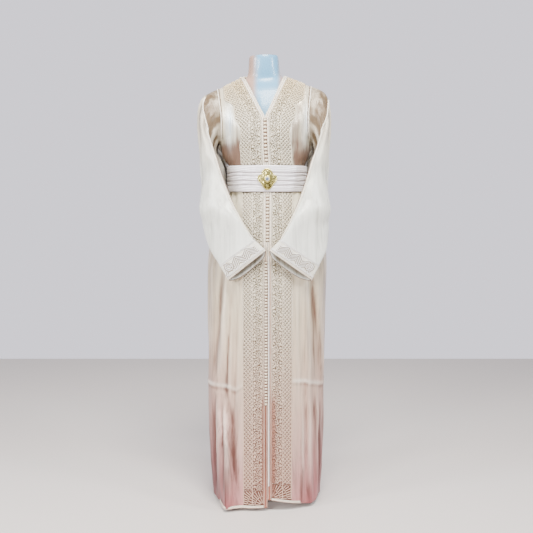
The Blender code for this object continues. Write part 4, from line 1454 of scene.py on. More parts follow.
class Pattern:
    """A node tree with named inputs, run once on a piece and turned into a plain mesh."""

    def __init__(self, name: str, inputs: dict[str, tuple[str, float]]) -> None:
        """Starts a tree.

        Args:
            name: name of the tree.
            inputs: for each named input its socket type and first value.
        """
        self.tree = bpy.data.node_groups.new(name, "GeometryNodeTree")
        self.tree.interface.new_socket("Geometry", in_out="INPUT", socket_type="NodeSocketGeometry")
        self.tree.interface.new_socket("Geometry", in_out="OUTPUT", socket_type="NodeSocketGeometry")
        self.keys: dict[str, str] = {}
        for key, (kind, value) in inputs.items():
            made = self.tree.interface.new_socket(key, in_out="INPUT", socket_type=kind)
            made.default_value = value
            self.keys[key] = made.identifier
        self.start = self.tree.nodes.new("NodeGroupInput")
        self.end = self.tree.nodes.new("NodeGroupOutput")

    def node(self, kind: str, settings: dict | None = None, inputs: dict | None = None) -> Node:
        """A node of any kind, its choices set and its sockets filled or linked.

        Args:
            kind: Blender's name of the node type.
            settings: the node's own choices.
            inputs: values or links of its sockets, by name or number.

        Returns:
            The node.
        """
        made = self.tree.nodes.new(kind)
        for key, value in (settings or {}).items():
            setattr(made, key, value)
        for key, value in (inputs or {}).items():
            if isinstance(value, Socket):
                self.tree.links.new(value, made.inputs[key])
            else:
                made.inputs[key].default_value = value
        return made

    def step(self, kind: str, settings: dict | None = None, inputs: dict | None = None) -> Socket:
        """First output of a new node."""
        return self.node(kind, settings, inputs).outputs[0]

    def maths(self, operation: str, *values: "Socket | float") -> Socket:
        """Result of one Math node."""
        return self.step("ShaderNodeMath", {"operation": operation}, dict(enumerate(values)))

    def asked(self, key: str) -> Socket:
        """Output of a named input."""
        return self.start.outputs[key]

    def close(self, geometry: Socket, material: Material) -> None:
        """Ends the tree: smooth faces, no instances left, one finish.

        Args:
            geometry: what the tree has made.
            material: its finish.
        """
        real = self.step("GeometryNodeRealizeInstances", None, {0: geometry})
        smooth = self.step("GeometryNodeSetShadeSmooth", None, {"Geometry": real})
        painted = self.step("GeometryNodeSetMaterial", None, {"Geometry": smooth, "Material": material})
        self.tree.links.new(painted, self.end.inputs[0])

    def run(self, name: str, source: Piece, **values: float) -> Piece:
        """Runs the tree on a source and keeps the result as a plain mesh.

        Args:
            name: name of the new piece.
            source: object whose mesh goes in; it is removed.
            values: the named inputs, with _ for a space.

        Returns:
            The new piece.
        """
        modifier = source.modifiers.new(name, "NODES")
        modifier.node_group = self.tree
        for key, value in values.items():
            modifier[self.keys[key.replace("_", " ")]] = value
        mesh = evaluated(source)
        mesh.name = name
        dropped(source)
        return linked(name, mesh)


def cord_pattern(name: str, material: Material, strands: int = 0) -> Pattern:
    """Sweeps a cord along the edges of its source.

    Args:
        name: name of the tree.
        material: finish of the cord.
        strands: number of twisted strands that show, or 0 for a plain round cord.

    Returns:
        The tree.
    """
    pattern = Pattern(name, {
        "Radius": ("NodeSocketFloat", 0.001),
        "Spacing": ("NodeSocketFloat", 0.002),
        "Twist": ("NodeSocketFloat", 0.0),
        "Sides": ("NodeSocketInt", 5),
    })
    asked, step = pattern.asked, pattern.step
    curve = step("GeometryNodeMeshToCurve", None, {"Mesh": pattern.start.outputs[0]})
    resample = {"Curve": curve, "Length": asked("Spacing")}
    curve = step("GeometryNodeResampleCurve", {"mode": "LENGTH"}, resample)
    if strands:
        along = pattern.node("GeometryNodeSplineParameter").outputs["Length"]
        turn = pattern.maths("MULTIPLY", along, asked("Twist"))
        curve = step("GeometryNodeSetCurveTilt", None, {"Curve": curve, "Tilt": turn})
    size = {"Resolution": asked("Sides"), "Radius": asked("Radius")}
    ring = step("GeometryNodeCurvePrimitiveCircle", None, size)
    if strands:
        share = pattern.node("GeometryNodeSplineParameter").outputs["Factor"]
        wave = pattern.maths("COSINE", pattern.maths("MULTIPLY", share, 2.0 * math.pi * strands))
        bulge = pattern.maths("MULTIPLY_ADD", wave, STRAND_SWING, STRAND_MIDDLE)
        spot = step("GeometryNodeInputPosition")
        scaled = step("ShaderNodeVectorMath", {"operation": "SCALE"}, {0: spot, "Scale": bulge})
        ring = step("GeometryNodeSetPosition", None, {"Geometry": ring, "Position": scaled})
    solid = {"Curve": curve, "Profile Curve": ring, "Fill Caps": True}
    pattern.close(step("GeometryNodeCurveToMesh", None, solid), material)
    return pattern


def bead_pattern(name: str, material: Material) -> Pattern:
    """Sets a bead on each point of its source.

    Args:
        name: name of the tree.
        material: finish of the beads.

    Returns:
        The tree.
    """
    pattern = Pattern(name, {"Size": ("NodeSocketFloat", 0.001), "Detail": ("NodeSocketInt", 1)})
    asked, step = pattern.asked, pattern.step
    round_size = {"Radius": asked("Size"), "Subdivisions": asked("Detail")}
    ball = step("GeometryNodeMeshIcoSphere", None, round_size)
    placed = {"Points": pattern.start.outputs[0], "Instance": ball}
    pattern.close(step("GeometryNodeInstanceOnPoints", None, placed), material)
    return pattern


def lines_object(name: str, lines: Sequence[Array], closed: Sequence[bool] | None = None) -> Piece:
    """Object of loose edges, one chain a line.

    Args:
        name: name of the object.
        lines: points of each line.
        closed: for each line, whether it ends where it starts.

    Returns:
        The object.
    """
    points, edges, count = [], [], 0
    for number, line in enumerate(lines):
        size = len(line)
        points.append(line)
        edges += [(count + step, count + step + 1) for step in range(size - 1)]
        if closed and closed[number]:
            edges.append((count + size - 1, count))
        count += size
    return make_object(name, np.concatenate(points), (), edges)


@dataclass(frozen=True)
class CordSize:
    """Thickness of a swept cord and how finely it is drawn, in metres."""

    radius: float
    spacing: float
    sides: int = 4
    twist: float = 0.0


def sweep(pattern: Pattern, lines: Sequence[Array], size: CordSize,
          closed: Sequence[bool] | None = None, name: str = "cords") -> Piece:
    """Sweeps a cord along each line.

    Args:
        pattern: tree of the cord.
        lines: points of each line.
        size: thickness and fineness of the cord.
        closed: for each line, whether it ends where it starts.
        name: name of the new piece.

    Returns:
        The cords as one piece.
    """
    path = lines_object("path", lines, closed)
    values = {"Radius": size.radius, "Spacing": size.spacing, "Sides": size.sides, "Twist": size.twist}
    return pattern.run(name, path, **values)


# Pieces of the gown

STREAK_STRETCH = np.array([1.0, 1.0, 0.12])


def weave_noise(points: Array, scale: float, seed: float) -> Array:
    """Smooth noise between -1 and 1 at each point of a grid.

    Args:
        points: the grid.
        scale: swings a metre.
        seed: shift of the noise, so that two uses differ.

    Returns:
        One number a point.
    """
    flat = points.reshape(-1, 3) * scale + seed
    values = np.array([noise.noise(Vector(place)) for place in flat])
    return values.reshape(points.shape[:-1])


def streaks(points: Array, seed: float) -> Array:
    """Noise drawn out along Z, like the sheen of hanging satin."""
    return weave_noise(points * STREAK_STRETCH, 90.0, seed)


def line_fold(points: Array, start: Place, end: Place, half: float) -> Array:
    """A long fold seen from the front: 1 on the line between two X-Z places, fading to its sides.

    Args:
        points: places on the panel.
        start: X and Z of one end.
        end: X and Z of the other end.
        half: half width of the fold.

    Returns:
        One share a point.
    """
    x, z = points[..., 0], points[..., 2]
    (x0, z0), (x1, z1) = start, end
    share = (z - z0) / (z1 - z0)
    near = bell(x, x0 + share * (x1 - x0), half)
    return near * ramp(share, -0.10, 0.30) * (1.0 - ramp(share, 0.80, 1.10))


@dataclass
class GownBody:
    """Back and both front panels: the cloth of the gown without its trims."""

    cut: GownCut
    finish: Finishes
    row_step: float = 0.0052
    col_step: float = 0.0040
    crease_height: float = 0.385
    ridge: float = 0.0038
    gather_below: float = 0.0011
    gather_above: float = 0.0014
    fold_gain: float = 3.0
    # Painted shade on the wearer's right and left: under the bust, low in the skirt, beside the chest
    bust_tone: Place = (1.5, 1.0)
    low_tone: Place = (0.50, 0.26)
    beside_tone: Place = (0.12, 0.32)
    # Height spans, rising and falling, where the cloth lies flat behind the belt
    front_still: tuple[Place, Place] = ((1.028, 1.038), (1.118, 1.127))
    back_still: tuple[Place, Place] = ((1.026, 1.038), (1.118, 1.129))
    # Packing crease: distances from the middle, then heights
    crease_right: tuple = (
        (0.070, 0.075, 0.106, 0.116, 0.124, 0.20),
        (0.413, 0.411, 0.389, 0.392, 0.398, 0.396),
    )
    crease_left: tuple = ((0.070, 0.125, 0.178, 0.20), (0.420, 0.418, 0.395, 0.392))
    sheets: dict[str, tuple] = field(default_factory=dict)
    # Columns: side, top X, top height, foot X, foot height, half width, depth
    folds: tuple = (
        (-1, -0.0880, 0.700, -0.1020, 0.300, 0.0050, 0.0034),
        (-1, -0.0980, 0.740, -0.1130, 0.290, 0.0055, -0.0034),
        (-1, -0.1080, 0.860, -0.1280, 0.420, 0.0050, 0.0012),
        (-1, -0.1240, 0.900, -0.1560, 0.420, 0.0060, 0.0014),
        (-1, -0.1420, 0.880, -0.1800, 0.440, 0.0070, -0.0014),
        (-1, -0.0920, 0.980, -0.0960, 0.760, 0.0050, -0.0012),
        (-1, -0.1150, 0.760, -0.1450, 0.330, 0.0070, -0.0024),
        (-1, -0.1300, 0.700, -0.1700, 0.400, 0.0090, 0.0016),
        (-1, -0.1180, 0.340, -0.0960, 0.020, 0.0050, -0.0020),
        (-1, -0.1260, 0.330, -0.1040, 0.020, 0.0050, 0.0018),
        (-1, -0.1340, 0.385, -0.1010, 0.060, 0.0080, -0.0042),
        (-1, -0.1360, 0.250, -0.1190, 0.020, 0.0055, 0.0020),
        (-1, -0.1460, 0.350, -0.1290, 0.020, 0.0060, 0.0016),
        (-1, -0.1560, 0.360, -0.1420, 0.020, 0.0060, -0.0020),
        (-1, -0.1680, 0.360, -0.1580, 0.020, 0.0070, 0.0018),
        (-1, -0.1780, 0.360, -0.1740, 0.020, 0.0065, -0.0018),
        (1, 0.0950, 0.790, 0.0980, 0.340, 0.0050, 0.0032),
        (1, 0.1240, 0.860, 0.1400, 0.420, 0.0055, 0.0014),
        (1, 0.1380, 0.900, 0.1600, 0.420, 0.0060, -0.0014),
        (1, 0.0860, 0.600, 0.0890, 0.360, 0.0045, -0.0014),
        (1, 0.1100, 0.740, 0.1250, 0.300, 0.0060, -0.0022),
        (1, 0.1480, 0.770, 0.1800, 0.330, 0.0085, -0.0014),
        (1, 0.1620, 0.760, 0.1880, 0.420, 0.0070, 0.0016),
        (1, 0.1060, 0.350, 0.1020, 0.020, 0.0050, -0.0018),
        (1, 0.1160, 0.350, 0.1130, 0.020, 0.0055, 0.0018),
        (1, 0.1270, 0.360, 0.1250, 0.020, 0.0055, -0.0012),
        (1, 0.1400, 0.360, 0.1390, 0.020, 0.0065, 0.0018),
        (1, 0.1530, 0.360, 0.1530, 0.020, 0.0060, -0.0010),
        (1, 0.1660, 0.380, 0.1650, 0.020, 0.0060, 0.0018),
        (1, 0.1780, 0.380, 0.1760, 0.020, 0.0060, -0.0018),
    )
    # Columns: distance from the middle at the top, at the foot, depth; the same on both sides
    back_folds: tuple = (
        (0.02, 0.03, -0.0022),
        (0.055, 0.07, 0.002),
        (0.085, 0.11, -0.0024),
        (0.12, 0.155, 0.002),
    )

    def gathers(self, points: Array, facing_front: bool) -> Array:
        """Small pleats that run into the belt from above and below.

        Args:
            points: places on the panel.
            facing_front: whether the panel is a front one.

        Returns:
            How far the cloth is raised at each point.
        """
        x, z = points[..., 0], points[..., 2]
        wave = np.sin(np.abs(x) * 520.0 + np.sin(np.abs(x) * 90.0) * 2.0)
        strength = self.gather_below * window(z, (0.90, 1.00), (1.040, 1.070))
        strength += self.gather_above * window(z, (1.085, 1.115), (1.135, 1.215))
        return wave * strength * (1.0 if facing_front else 0.8)

    def crumple(self, points: Array, seed: float) -> Array:
        """Loose waviness of satin that has been folded and worn.

        Args:
            points: places on the panel.
            seed: shift of the noise.

        Returns:
            How far the cloth is raised at each point.
        """
        stretched = points * np.array([1.0, 1.0, 0.28])
        wide = weave_noise(stretched, 15.0, seed) * 0.0052
        fine = weave_noise(stretched, 42.0, seed + 3.0) * 0.0026
        return wide + fine

    def over_form(self, points: Array, relief: Array) -> Array:
        """Relief that never sinks the cloth into the form that it rests on.

        Args:
            points: places on the panel.
            relief: how far the cloth is raised there.

        Returns:
            The relief, kept over the form.
        """
        upper = ramp(points[..., 2], 1.10, 1.18)
        return relief * (1.0 - upper) + np.maximum(relief, -0.0001) * upper

    def crease_line(self, points: Array, front: bool) -> Array:
        """Height of the packing crease over each place.

        Args:
            points: places on the panel.
            front: whether the panel is a front one.

        Returns:
            The crease's height at each point.
        """
        x = points[..., 0]
        if not front:
            return self.crease_height + 0.004 * np.sin(x * 22.0)
        return np.where(x < 0.0, np.interp(-x, *self.crease_right), np.interp(x, *self.crease_left))

    def packing_crease(self, points: Array, front: bool) -> Array:
        """The crease left by folding the skirt, a sharp ridge with a broken line.

        Args:
            points: places on the panel.
            front: whether the panel is a front one.

        Returns:
            How far the cloth is raised at each point.
        """
        x, z = points[..., 0], points[..., 2]
        height = self.crease_line(points, front)
        second = height - np.where(x < 0.0, 0.026, -0.012)
        line = bell(z, height, 0.0066) * (0.55 + 0.45 * self.broken(x))
        again = bell(z, second, 0.0070) * (0.30 - 0.30 * self.broken(x))
        return (line + again) * self.ridge

    def broken(self, x: Array) -> Array:
        """Swing that strengthens and weakens the packing crease across the skirt."""
        return np.sin(x * 61.0 + 1.3) * np.sin(x * 23.0)

    def hollows(self, cloth: Cloth, relief: Array, front: bool) -> Array:
        """Share of painted shade: valleys and slopes of the folds, under the bust, low in the skirt and at
        its sides.

        Args:
            cloth: the folded panel.
            relief: how far its folds raise it.
            front: whether the panel is a front one.

        Returns:
            One share a point.
        """
        x, z = cloth.points[..., 0], cloth.points[..., 2]
        away, right = np.abs(x), x < 0.0
        # painted shade in the fold valleys and on slopes that turn from the light
        valley = np.clip((-relief - 0.0020) / 0.0050, 0.0, 1.0) * 0.55
        slope = np.gradient(relief, axis=1) / self.col_step * np.sign(x + 1e-6)
        valley = valley + np.clip(slope - 0.08, 0.0, 0.32)
        streak = 0.45 * streaks(cloth.points, 5.0)
        # painted shade low in the skirt, at its sides and under the packing crease
        low = np.where(right, *self.low_tone) * (1.0 - ramp(z, 0.02, 0.38)) * ramp(away, 0.085, 0.13)
        edge = 0.35 * ramp(away, np.where(right, 0.130, 0.165), 0.200) * (1.0 - ramp(z, 0.80, 1.0))
        crease = 0.30 * bell(z, self.crease_line(cloth.points, front) - 0.011, 0.006)
        total = valley + crease + low * (0.75 + streak) + edge
        # painted shade under the bust and beside the chest
        if front:
            bust = np.where(right, *self.bust_tone) * (0.92 + 0.16 * streak)
            total += bust * bell(z, 1.148, 0.048) * ramp(away, 0.072, 0.094)
            beside = window(away, (0.070, 0.082), (0.112, 0.128)) * ramp(z, 1.17, 1.20)
            total += np.where(right, *self.beside_tone) * beside
        return np.clip(total, 0.0, 1.0)

    def ridges(self, cloth: Cloth, relief: Array, front: bool) -> Array:
        """Share of painted highlight: the tops of the folds, the crease and the bust's shine.

        Args:
            cloth: the folded panel.
            relief: how far its folds raise it.
            front: whether the panel is a front one.

        Returns:
            One share a point.
        """
        x, y, z = (cloth.points[..., axis] for axis in range(3))
        # painted highlight along the crease, strongest where the cloth faces forward
        crease_highlight = 0.30 + 0.40 * self.broken(x) + 0.25 * front * (np.abs(x) < 0.17)
        crease_highlight = np.clip(crease_highlight, 0.0, 0.6) * (0.30 + 0.70 * ramp(-y, 0.0, 0.06))
        crease = bell(z, self.crease_line(cloth.points, front), 0.0060) * crease_highlight
        # painted highlight on the tops of the folds
        tops = 0.26 * np.clip(relief / 0.0045, 0.0, 1.0) * window(z, (0.02, 0.25), (0.95, 1.05))
        # painted highlight of the bust's shine
        at = np.where(x < 0.0, 0.1250, 0.1300 + 0.05 * (z - 1.25))
        shine = 0.85 * front * bell(np.abs(x), at, 0.0130) * bell(z, 1.262, 0.062)
        return np.clip(tops + crease + shine * (0.8 + 0.5 * streaks(cloth.points, 2.0)), 0.0, 1.0)

    def tones(self, made: Piece, cloth: Cloth, relief: Array, front: bool) -> None:
        """Writes the painted shade and painted highlight on a panel; its inner face gets an even painted
        shade.

        Args:
            made: the panel.
            cloth: its outer face.
            relief: how far its folds raise it.
            front: whether it is a front panel.
        """
        # painted shade and painted highlight of the outer face; the inner face gets an even painted shade
        # and no highlight
        deep, pale = self.hollows(cloth, relief, front), self.ridges(cloth, relief, front)
        write_tone(made, "hollow", np.concatenate([deep.ravel(), np.full(deep.size, 0.7)]))
        write_tone(made, "ridge", np.concatenate([pale.ravel(), np.zeros(pale.size)]))

    def front_cloth(self, side: Side) -> tuple[Cloth, Cloth]:
        """The front panel as packed and with its finer folds.

        Args:
            side: the wearer's side.

        Returns:
            The panel as packed, then folded.
        """
        grid = self.cut.front(side)
        steps = np.where(np.arange(grid.shape[1] - 1) < EDGE_COLUMN, 2.0 * self.col_step, self.col_step)
        plain = Cloth.from_grid(grid, self.row_step, steps, side.value)
        open_side = ramp(plain.col_at[None, :], EDGE_COLUMN, EDGE_COLUMN + 2.2)
        points = plain.points
        relief = np.zeros(points.shape[:2])
        for which, top_x, top_z, foot_x, foot_z, half, depth in self.folds:
            if which == side.value:
                relief += line_fold(points, (top_x, top_z), (foot_x, foot_z), half) * depth
        relief = relief * self.fold_gain + self.gathers(points, True) + self.packing_crease(points, True)
        relief += self.crumple(points, 4.0 * side.value)
        relief = self.over_form(points, relief)
        u, v = plain.metres()
        seam = ramp(u[:, -1:] - u, 0.0, 0.020)
        top = ramp(v[-1:] - v, 0.0, 0.030)
        # the cloth behind the belt, the trims and the sleeve seam stays where it is packed
        belt = 1.0 - window(points[..., 2], *self.front_still)
        return plain, plain.moved(relief * open_side * seam * top * belt)

    def build_front(self, side: Side) -> Cloth:
        """Makes one front panel.

        Args:
            side: the wearer's side.

        Returns:
            The panel as packed, which the trims lie on.
        """
        plain, folded = self.front_cloth(side)
        name = f"front_{side.label}"
        made = dress(folded.solid(f"{name}_cloth", CLOTH, SEAM_GAP), self.finish.gown)
        relief = ((folded.points - plain.points) * plain.facing).sum(axis=-1)
        self.tones(made, folded, relief, True)
        self.sheets[name] = (seat(made, "satin", name), folded.area())
        return plain

    def build_back(self) -> Cloth:
        """Makes the whole back.

        Returns:
            The back as packed, which the neck trim lies on.
        """
        right, left = self.cut.back(Side.RIGHT), self.cut.back(Side.LEFT)
        grid = np.concatenate([right[:, ::-1], left[:, 1:]], axis=1)
        plain = Cloth.from_grid(grid, self.row_step, self.col_step, -1.0)
        points = plain.points
        u, v = plain.metres()
        fade = ramp(u, 0.0, 0.02) * ramp(u[:, -1:] - u, 0.0, 0.02) * ramp(v[-1:] - v, 0.0, 0.035)
        belt = 1.0 - window(points[..., 2], *self.back_still)
        relief = self.gathers(points, False) + self.packing_crease(points, False)
        relief = self.over_form(points, relief + self.crumple(points, 11.0))
        for x, foot, depth in self.back_folds:
            for sign in (-1.0, 1.0):
                relief += line_fold(points, (sign * x, 1.0), (sign * foot, 0.05), 0.009) * depth
        relief = relief * fade * belt
        folded = plain.moved(relief)
        made = dress(folded.solid("back_cloth", CLOTH, SEAM_GAP), self.finish.gown)
        self.tones(made, folded, relief, False)
        self.sheets["back"] = (seat(made, "satin", "back"), folded.area())
        return plain

    def neck_trim(self, back: Cloth) -> Piece:
        """Makes the narrow band under the back neckline.

        Args:
            back: the back as packed.

        Returns:
            The finished piece.
        """
        last = len(self.cut.body) + len(self.cut.yoke) - 2
        first = len(self.cut.body) - 1 + self.cut.neck_row
        middle = self.cut.back_sides
        cols = np.linspace(middle - 1, middle + 1, 33)
        ground = back.patch(np.linspace(first, last, 24), cols, LIFT + TRIM_THICK)
        made = dress(ground.solid("back_neck_trim_braid", TRIM_THICK, SEAM_GAP), self.finish.rose_trim)
        return seat(made, "cord", "back_neck_trim")

    def declare(self, name: str, flat: Place, sewn_on: list[Piece]) -> None:
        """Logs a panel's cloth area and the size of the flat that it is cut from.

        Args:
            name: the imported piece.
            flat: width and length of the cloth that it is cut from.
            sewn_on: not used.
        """
        made, area = self.sheets[name]
        LOG.info("%s cloth %.3f m2 of %.3f", name, area, flat[0] * flat[1])


@dataclass
class Sleeve:
    """One wide sleeve with its cuff band, cuff cords and the piping on its front fold."""

    cut: GownCut
    finish: Finishes
    side: Side
    step: float = 0.0048
    rear_drop: float = 0.0075
    chevron: float = 0.0400
    peak: float = 0.0075
    corner_at: float = 0.405
    gather: float = 0.0022
    shade_drop: float = 0.0026
    around_step: float = 0.125
    band_rows: Place = (13.0, 14.69)
    cord_rows: Place = (14.71, 15.0)
    rosette: Place = (0.0120, 0.0068)
    # Straight cords of the band, as shares of its height
    rules: tuple = (0.02, 0.10, 0.90, 0.98)
    raised: CordSize = CordSize(0.0014, 0.003)
    shaded: CordSize = CordSize(0.0013, 0.003)
    edging: CordSize = CordSize(0.0019, 0.0026, 6, 700.0)
    # Sizes of the dark cords of painted shadow at the cuff's edge and the front fold, and of the piping
    # between them
    edge_seam: CordSize = CordSize(0.0015, 0.004)
    pipe: CordSize = CordSize(0.0019, 0.004, 6)
    fold_seam: CordSize = CordSize(0.0017, 0.004)
    # Line of the front fold over the shoulder: heights, then distances from the middle
    right_line: tuple = (
        (1.100, 1.162, 1.246, 1.297, 1.326, 1.348),
        (0.150, 0.175, 0.197, 0.210, 0.2125, 0.2060),
    )
    left_line: tuple = ((1.123, 1.181, 1.279, 1.353), (0.128, 0.153, 0.194, 0.203))

    def cloth(self) -> tuple[Cloth, Cloth]:
        """The sleeve as packed and with its gathers.

        Returns:
            The sleeve as packed, then gathered.
        """
        plain = Cloth.from_grid(self.cut.sleeve_rings(self.side), self.step, self.step, 1.0, True)
        middle = plain.points.mean(axis=1, keepdims=True)
        if float(((plain.points - middle) * plain.facing).sum(axis=-1).mean()) < 0:
            plain.face(-1.0)
        points = plain.points
        along = plain.row_at[:, None]
        around = plain.col_at[None, :]
        # the rear layer of the cuff hangs a little lower than the front one
        run = unit(points[-1] - points[-8])
        rear = np.minimum(ramp(around, 11.0, 14.0), 1.0 - ramp(around, 17.5, 19.6))
        points += run[None] * (rear * ramp(along, 12.0, 14.6) * self.rear_drop)[..., None]
        stretched = points * np.array([1.0, 1.0, 0.6])
        relief = weave_noise(stretched, 26.0, 7.0 * self.side.value) * 0.0016
        relief += weave_noise(stretched, 70.0, 21.0) * 0.0006
        # gathers fan out from the shoulder seam and soft folds cross the elbow
        fan = np.sin(around * math.pi * 1.10 + along * 0.55) * window(along, (0.4, 2.0), (4.5, 7.5))
        cross = np.sin(along * 2.9 + np.sin(around * 0.9) * 1.3) * window(along, (5.5, 7.5), (10.0, 12.0))
        relief += (fan + cross) * self.gather
        ends = window(along, (0.15, 1.3), (11.6, 12.6))
        crease = 1.0 - 0.85 * bell(around, 0.0, 0.55) - 0.85 * bell(around, plain.turns, 0.55)
        return plain, plain.moved(relief * ends * crease)

    def beyond(self, points: Array) -> Array:
        """How far points lie outside the front fold's line over the shoulder.

        Args:
            points: places on the sleeve.

        Returns:
            One distance a point, negative inside.
        """
        line = self.right_line if self.side is Side.RIGHT else self.left_line
        return np.abs(points[..., 0]) - np.interp(points[..., 2], *line)

    def fold_line(self, folded: Cloth) -> tuple[Array, Array, Array]:
        """The front fold as the cloth drapes it: down from the shoulder, then along the sleeve's edge.

        Args:
            folded: the gathered sleeve.

        Returns:
            Points, the way across the sleeve and the way that the cloth faces.
        """
        half = int(np.searchsorted(folded.col_at, 10.0))
        outside = self.beyond(folded.points[:, :half])
        spots, ways, outs = [], [], []
        for row in np.flatnonzero((folded.row_at > 0.35) & (folded.row_at < 12.97)):
            past = outside[row] >= 0.0
            if not past.any() and folded.row_at[row] < 5.0:
                continue
            column = int(past.argmax()) if past.any() and folded.points[row, 0, 2] > 1.12 else 0
            share = 0.0
            if column:
                share = -outside[row, column - 1] / (outside[row, column] - outside[row, column - 1])
                column -= 1
            near, far = folded.points[row, column], folded.points[row, column + 1]
            spots.append(near + (far - near) * share)
            ways.append(unit(far - near))
            outs.append(folded.facing[row, column])
        return np.array(spots), np.array(ways), np.array(outs)

    def tones(self, plain: Cloth, folded: Cloth) -> Array:
        """Share of painted shade outside and then inside the sleeve.

        Args:
            plain: the sleeve as packed.
            folded: the gathered sleeve.

        Returns:
            One share a point of the wall.
        """
        along, around = plain.row_at[:, None], plain.col_at[None, :]
        relief = ((folded.points - plain.points) * plain.facing).sum(axis=-1)
        height, past = folded.points[..., 2], self.beyond(folded.points)
        # painted shade on the rear layer, and painted shadow beside the front fold
        inner = window(around, (12.0, 14.5), (19.6, 19.9)) * (1.0 - ramp(along, 8.5, 11.0))
        inner = inner * (0.36 + 0.12 * ramp(along, 2.0, 4.5))
        beside = bell(around, 19.55, 0.55) * (1.0 - ramp(along, 12.0, 13.0)) * 0.55
        # painted shade in the gathers below the shoulder
        upper = window(along, (0.1, 0.8), (3.0, 6.5)) * (0.12 + np.clip(-relief / 0.002, -0.1, 0.35))
        # painted shade on the front layer between the armhole and the piping
        framed = ramp(past, 0.002, -0.004) * (around < 10.5)
        streak = 0.86 + 0.38 * streaks(folded.points, 5.0)
        behind = 1.25 * framed * streak * ramp(height, 1.10, 1.14)
        behind *= 1.0 - 0.28 * ramp(height, 1.285, 1.345)
        behind *= 1.0 - 0.26 * ramp(-past, 0.024, 0.040) * ramp(height, 1.18, 1.24)
        deep = np.maximum(inner, behind) + beside + upper * (1.0 - framed)
        # painted shade in the valleys of the cloth
        deep += 0.20 * np.clip(-relief / 0.003, 0, 1)
        # painted shade on the inside, lighter near the cuff's edge
        within = 0.90 - 0.15 * ramp(along, 11.5, 13.5) - 0.45 * ramp(along, 14.55, 14.9)
        return np.concatenate([np.clip(deep, 0, 1).ravel(), np.broadcast_to(within, deep.shape).ravel()])

    def build(self) -> Cloth:
        """Makes the sleeve's cloth and all that is sewn to it.

        Returns:
            The sleeve as packed.
        """
        plain, folded = self.cloth()
        label = self.side.label
        made = dress(folded.solid(f"sleeve_{label}_cloth", SLEEVE_CLOTH, SEAM_GAP), self.finish.sleeve)
        # the sleeve stores its painted shade for the finish
        write_tone(made, "hollow", self.tones(plain, folded))
        seat(made, "sleeve_satin", f"sleeve_{label}")
        sewn_on = [self.cuff_band(plain), self.cuff_cord(plain), self.piping(folded)]
        area = folded.area()
        LOG.info("sleeve cloth %.3f m2", area)
        return plain

    def cuff_band(self, plain: Cloth) -> Piece:
        """Makes the embroidered band with its rows of corded chevrons and its rosette.

        Args:
            plain: the sleeve as packed.

        Returns:
            The finished piece.
        """
        label = self.side.label
        rows, cols = np.linspace(*self.band_rows, 16), np.arange(0.0, plain.turns, self.around_step)
        ground = plain.patch(rows, cols, LIFT + PANEL_THICK)
        band = dress(ground.solid("ground", PANEL_THICK), self.finish.cuff_ground)
        strip = Strip(plain.patch(rows, np.append(cols, plain.turns), LIFT + PANEL_THICK))
        tall = strip.length
        round_about = np.arange(0.0, strip.width, 0.004)
        lines = [strip.line([(x, tall * v) for x in round_about], 0.0005) for v in self.rules]
        shades, beads = [], []
        count = int(strip.width / self.chevron)
        pitch = strip.width / count
        for number, v in enumerate(np.arange(0.26, 0.82, 0.135)):
            turns = [(turn * pitch / 2, self.peak if turn % 2 else -self.peak) for turn in range(2 * count)]
            lines.append(strip.line([(x, tall * v + up) for x, up in turns], 0.0006))
            # painted shadow just below each chevron
            shades.append(strip.line([(x, tall * v + up + self.shade_drop) for x, up in turns], 0.0002))
            beads += [((turn + 0.5 * (number % 2)) * pitch, tall * v) for turn in range(count)]
        corner, middle = strip.width * self.corner_at, 0.5 * tall
        for radius in self.rosette:
            # each rosette ring has a ring of painted shadow just outside it
            for reach, lift, drawn in ((radius, 0.0011, lines), (radius * 1.22, 0.0008, shades)):
                around = np.linspace(0.0, 2.0 * math.pi, 19)
                ring = [(corner + reach * math.cos(a), middle + reach * math.sin(a)) for a in around]
                drawn.append(strip.line(ring, lift))
                beads += ring[:-1:2] if drawn is lines else []
        beads.append((corner, middle))
        cords = sweep(self.finish.white_line, lines, self.raised)
        shaded = sweep(self.finish.tan_line, shades, self.shaded)
        dots = self.finish.beads.run("dots", strip.dots(beads, 0.0012), Size=0.0012)
        made = merged(f"cuff_band_{label}_work", [band, cords, shaded, dots])
        return seat(made, "embroidery", f"cuff_band_{label}")

    def cuff_cord(self, plain: Cloth) -> Piece:
        """Makes the doubled cord at the edge of the cuff.

        Args:
            plain: the sleeve as packed.

        Returns:
            The finished piece.
        """
        label = self.side.label
        first, last = self.cord_rows
        cols = np.arange(0.0, plain.turns, self.around_step)
        strip = Strip(plain.patch(np.linspace(first, last, 5), np.append(cols, plain.turns), LIFT))
        ground = plain.patch(np.linspace(first + 0.01, last - 0.01, 4), cols, LIFT + CORD_TAPE)
        tape = dress(ground.solid("tape", CORD_TAPE), self.finish.cord)
        places = np.arange(0.0, strip.width, 0.003)
        lines = [strip.line([(x, strip.length * v) for x in places], 0.0013) for v in (0.26, 0.76)]
        cords = sweep(self.finish.twisted, lines, self.edging, [True, True])
        # dark cords of painted shadow along both edges of the cuff cord
        edges = [strip.line([(x, strip.length * v) for x in places], 0.0002) for v in (1.0, 0.0)]
        seam = sweep(self.finish.shade_line, edges, self.edge_seam, [True, True])
        made = merged(f"cuff_cord_{label}_twist", [tape, cords, seam])
        return seat(made, "cord", f"cuff_cord_{label}")

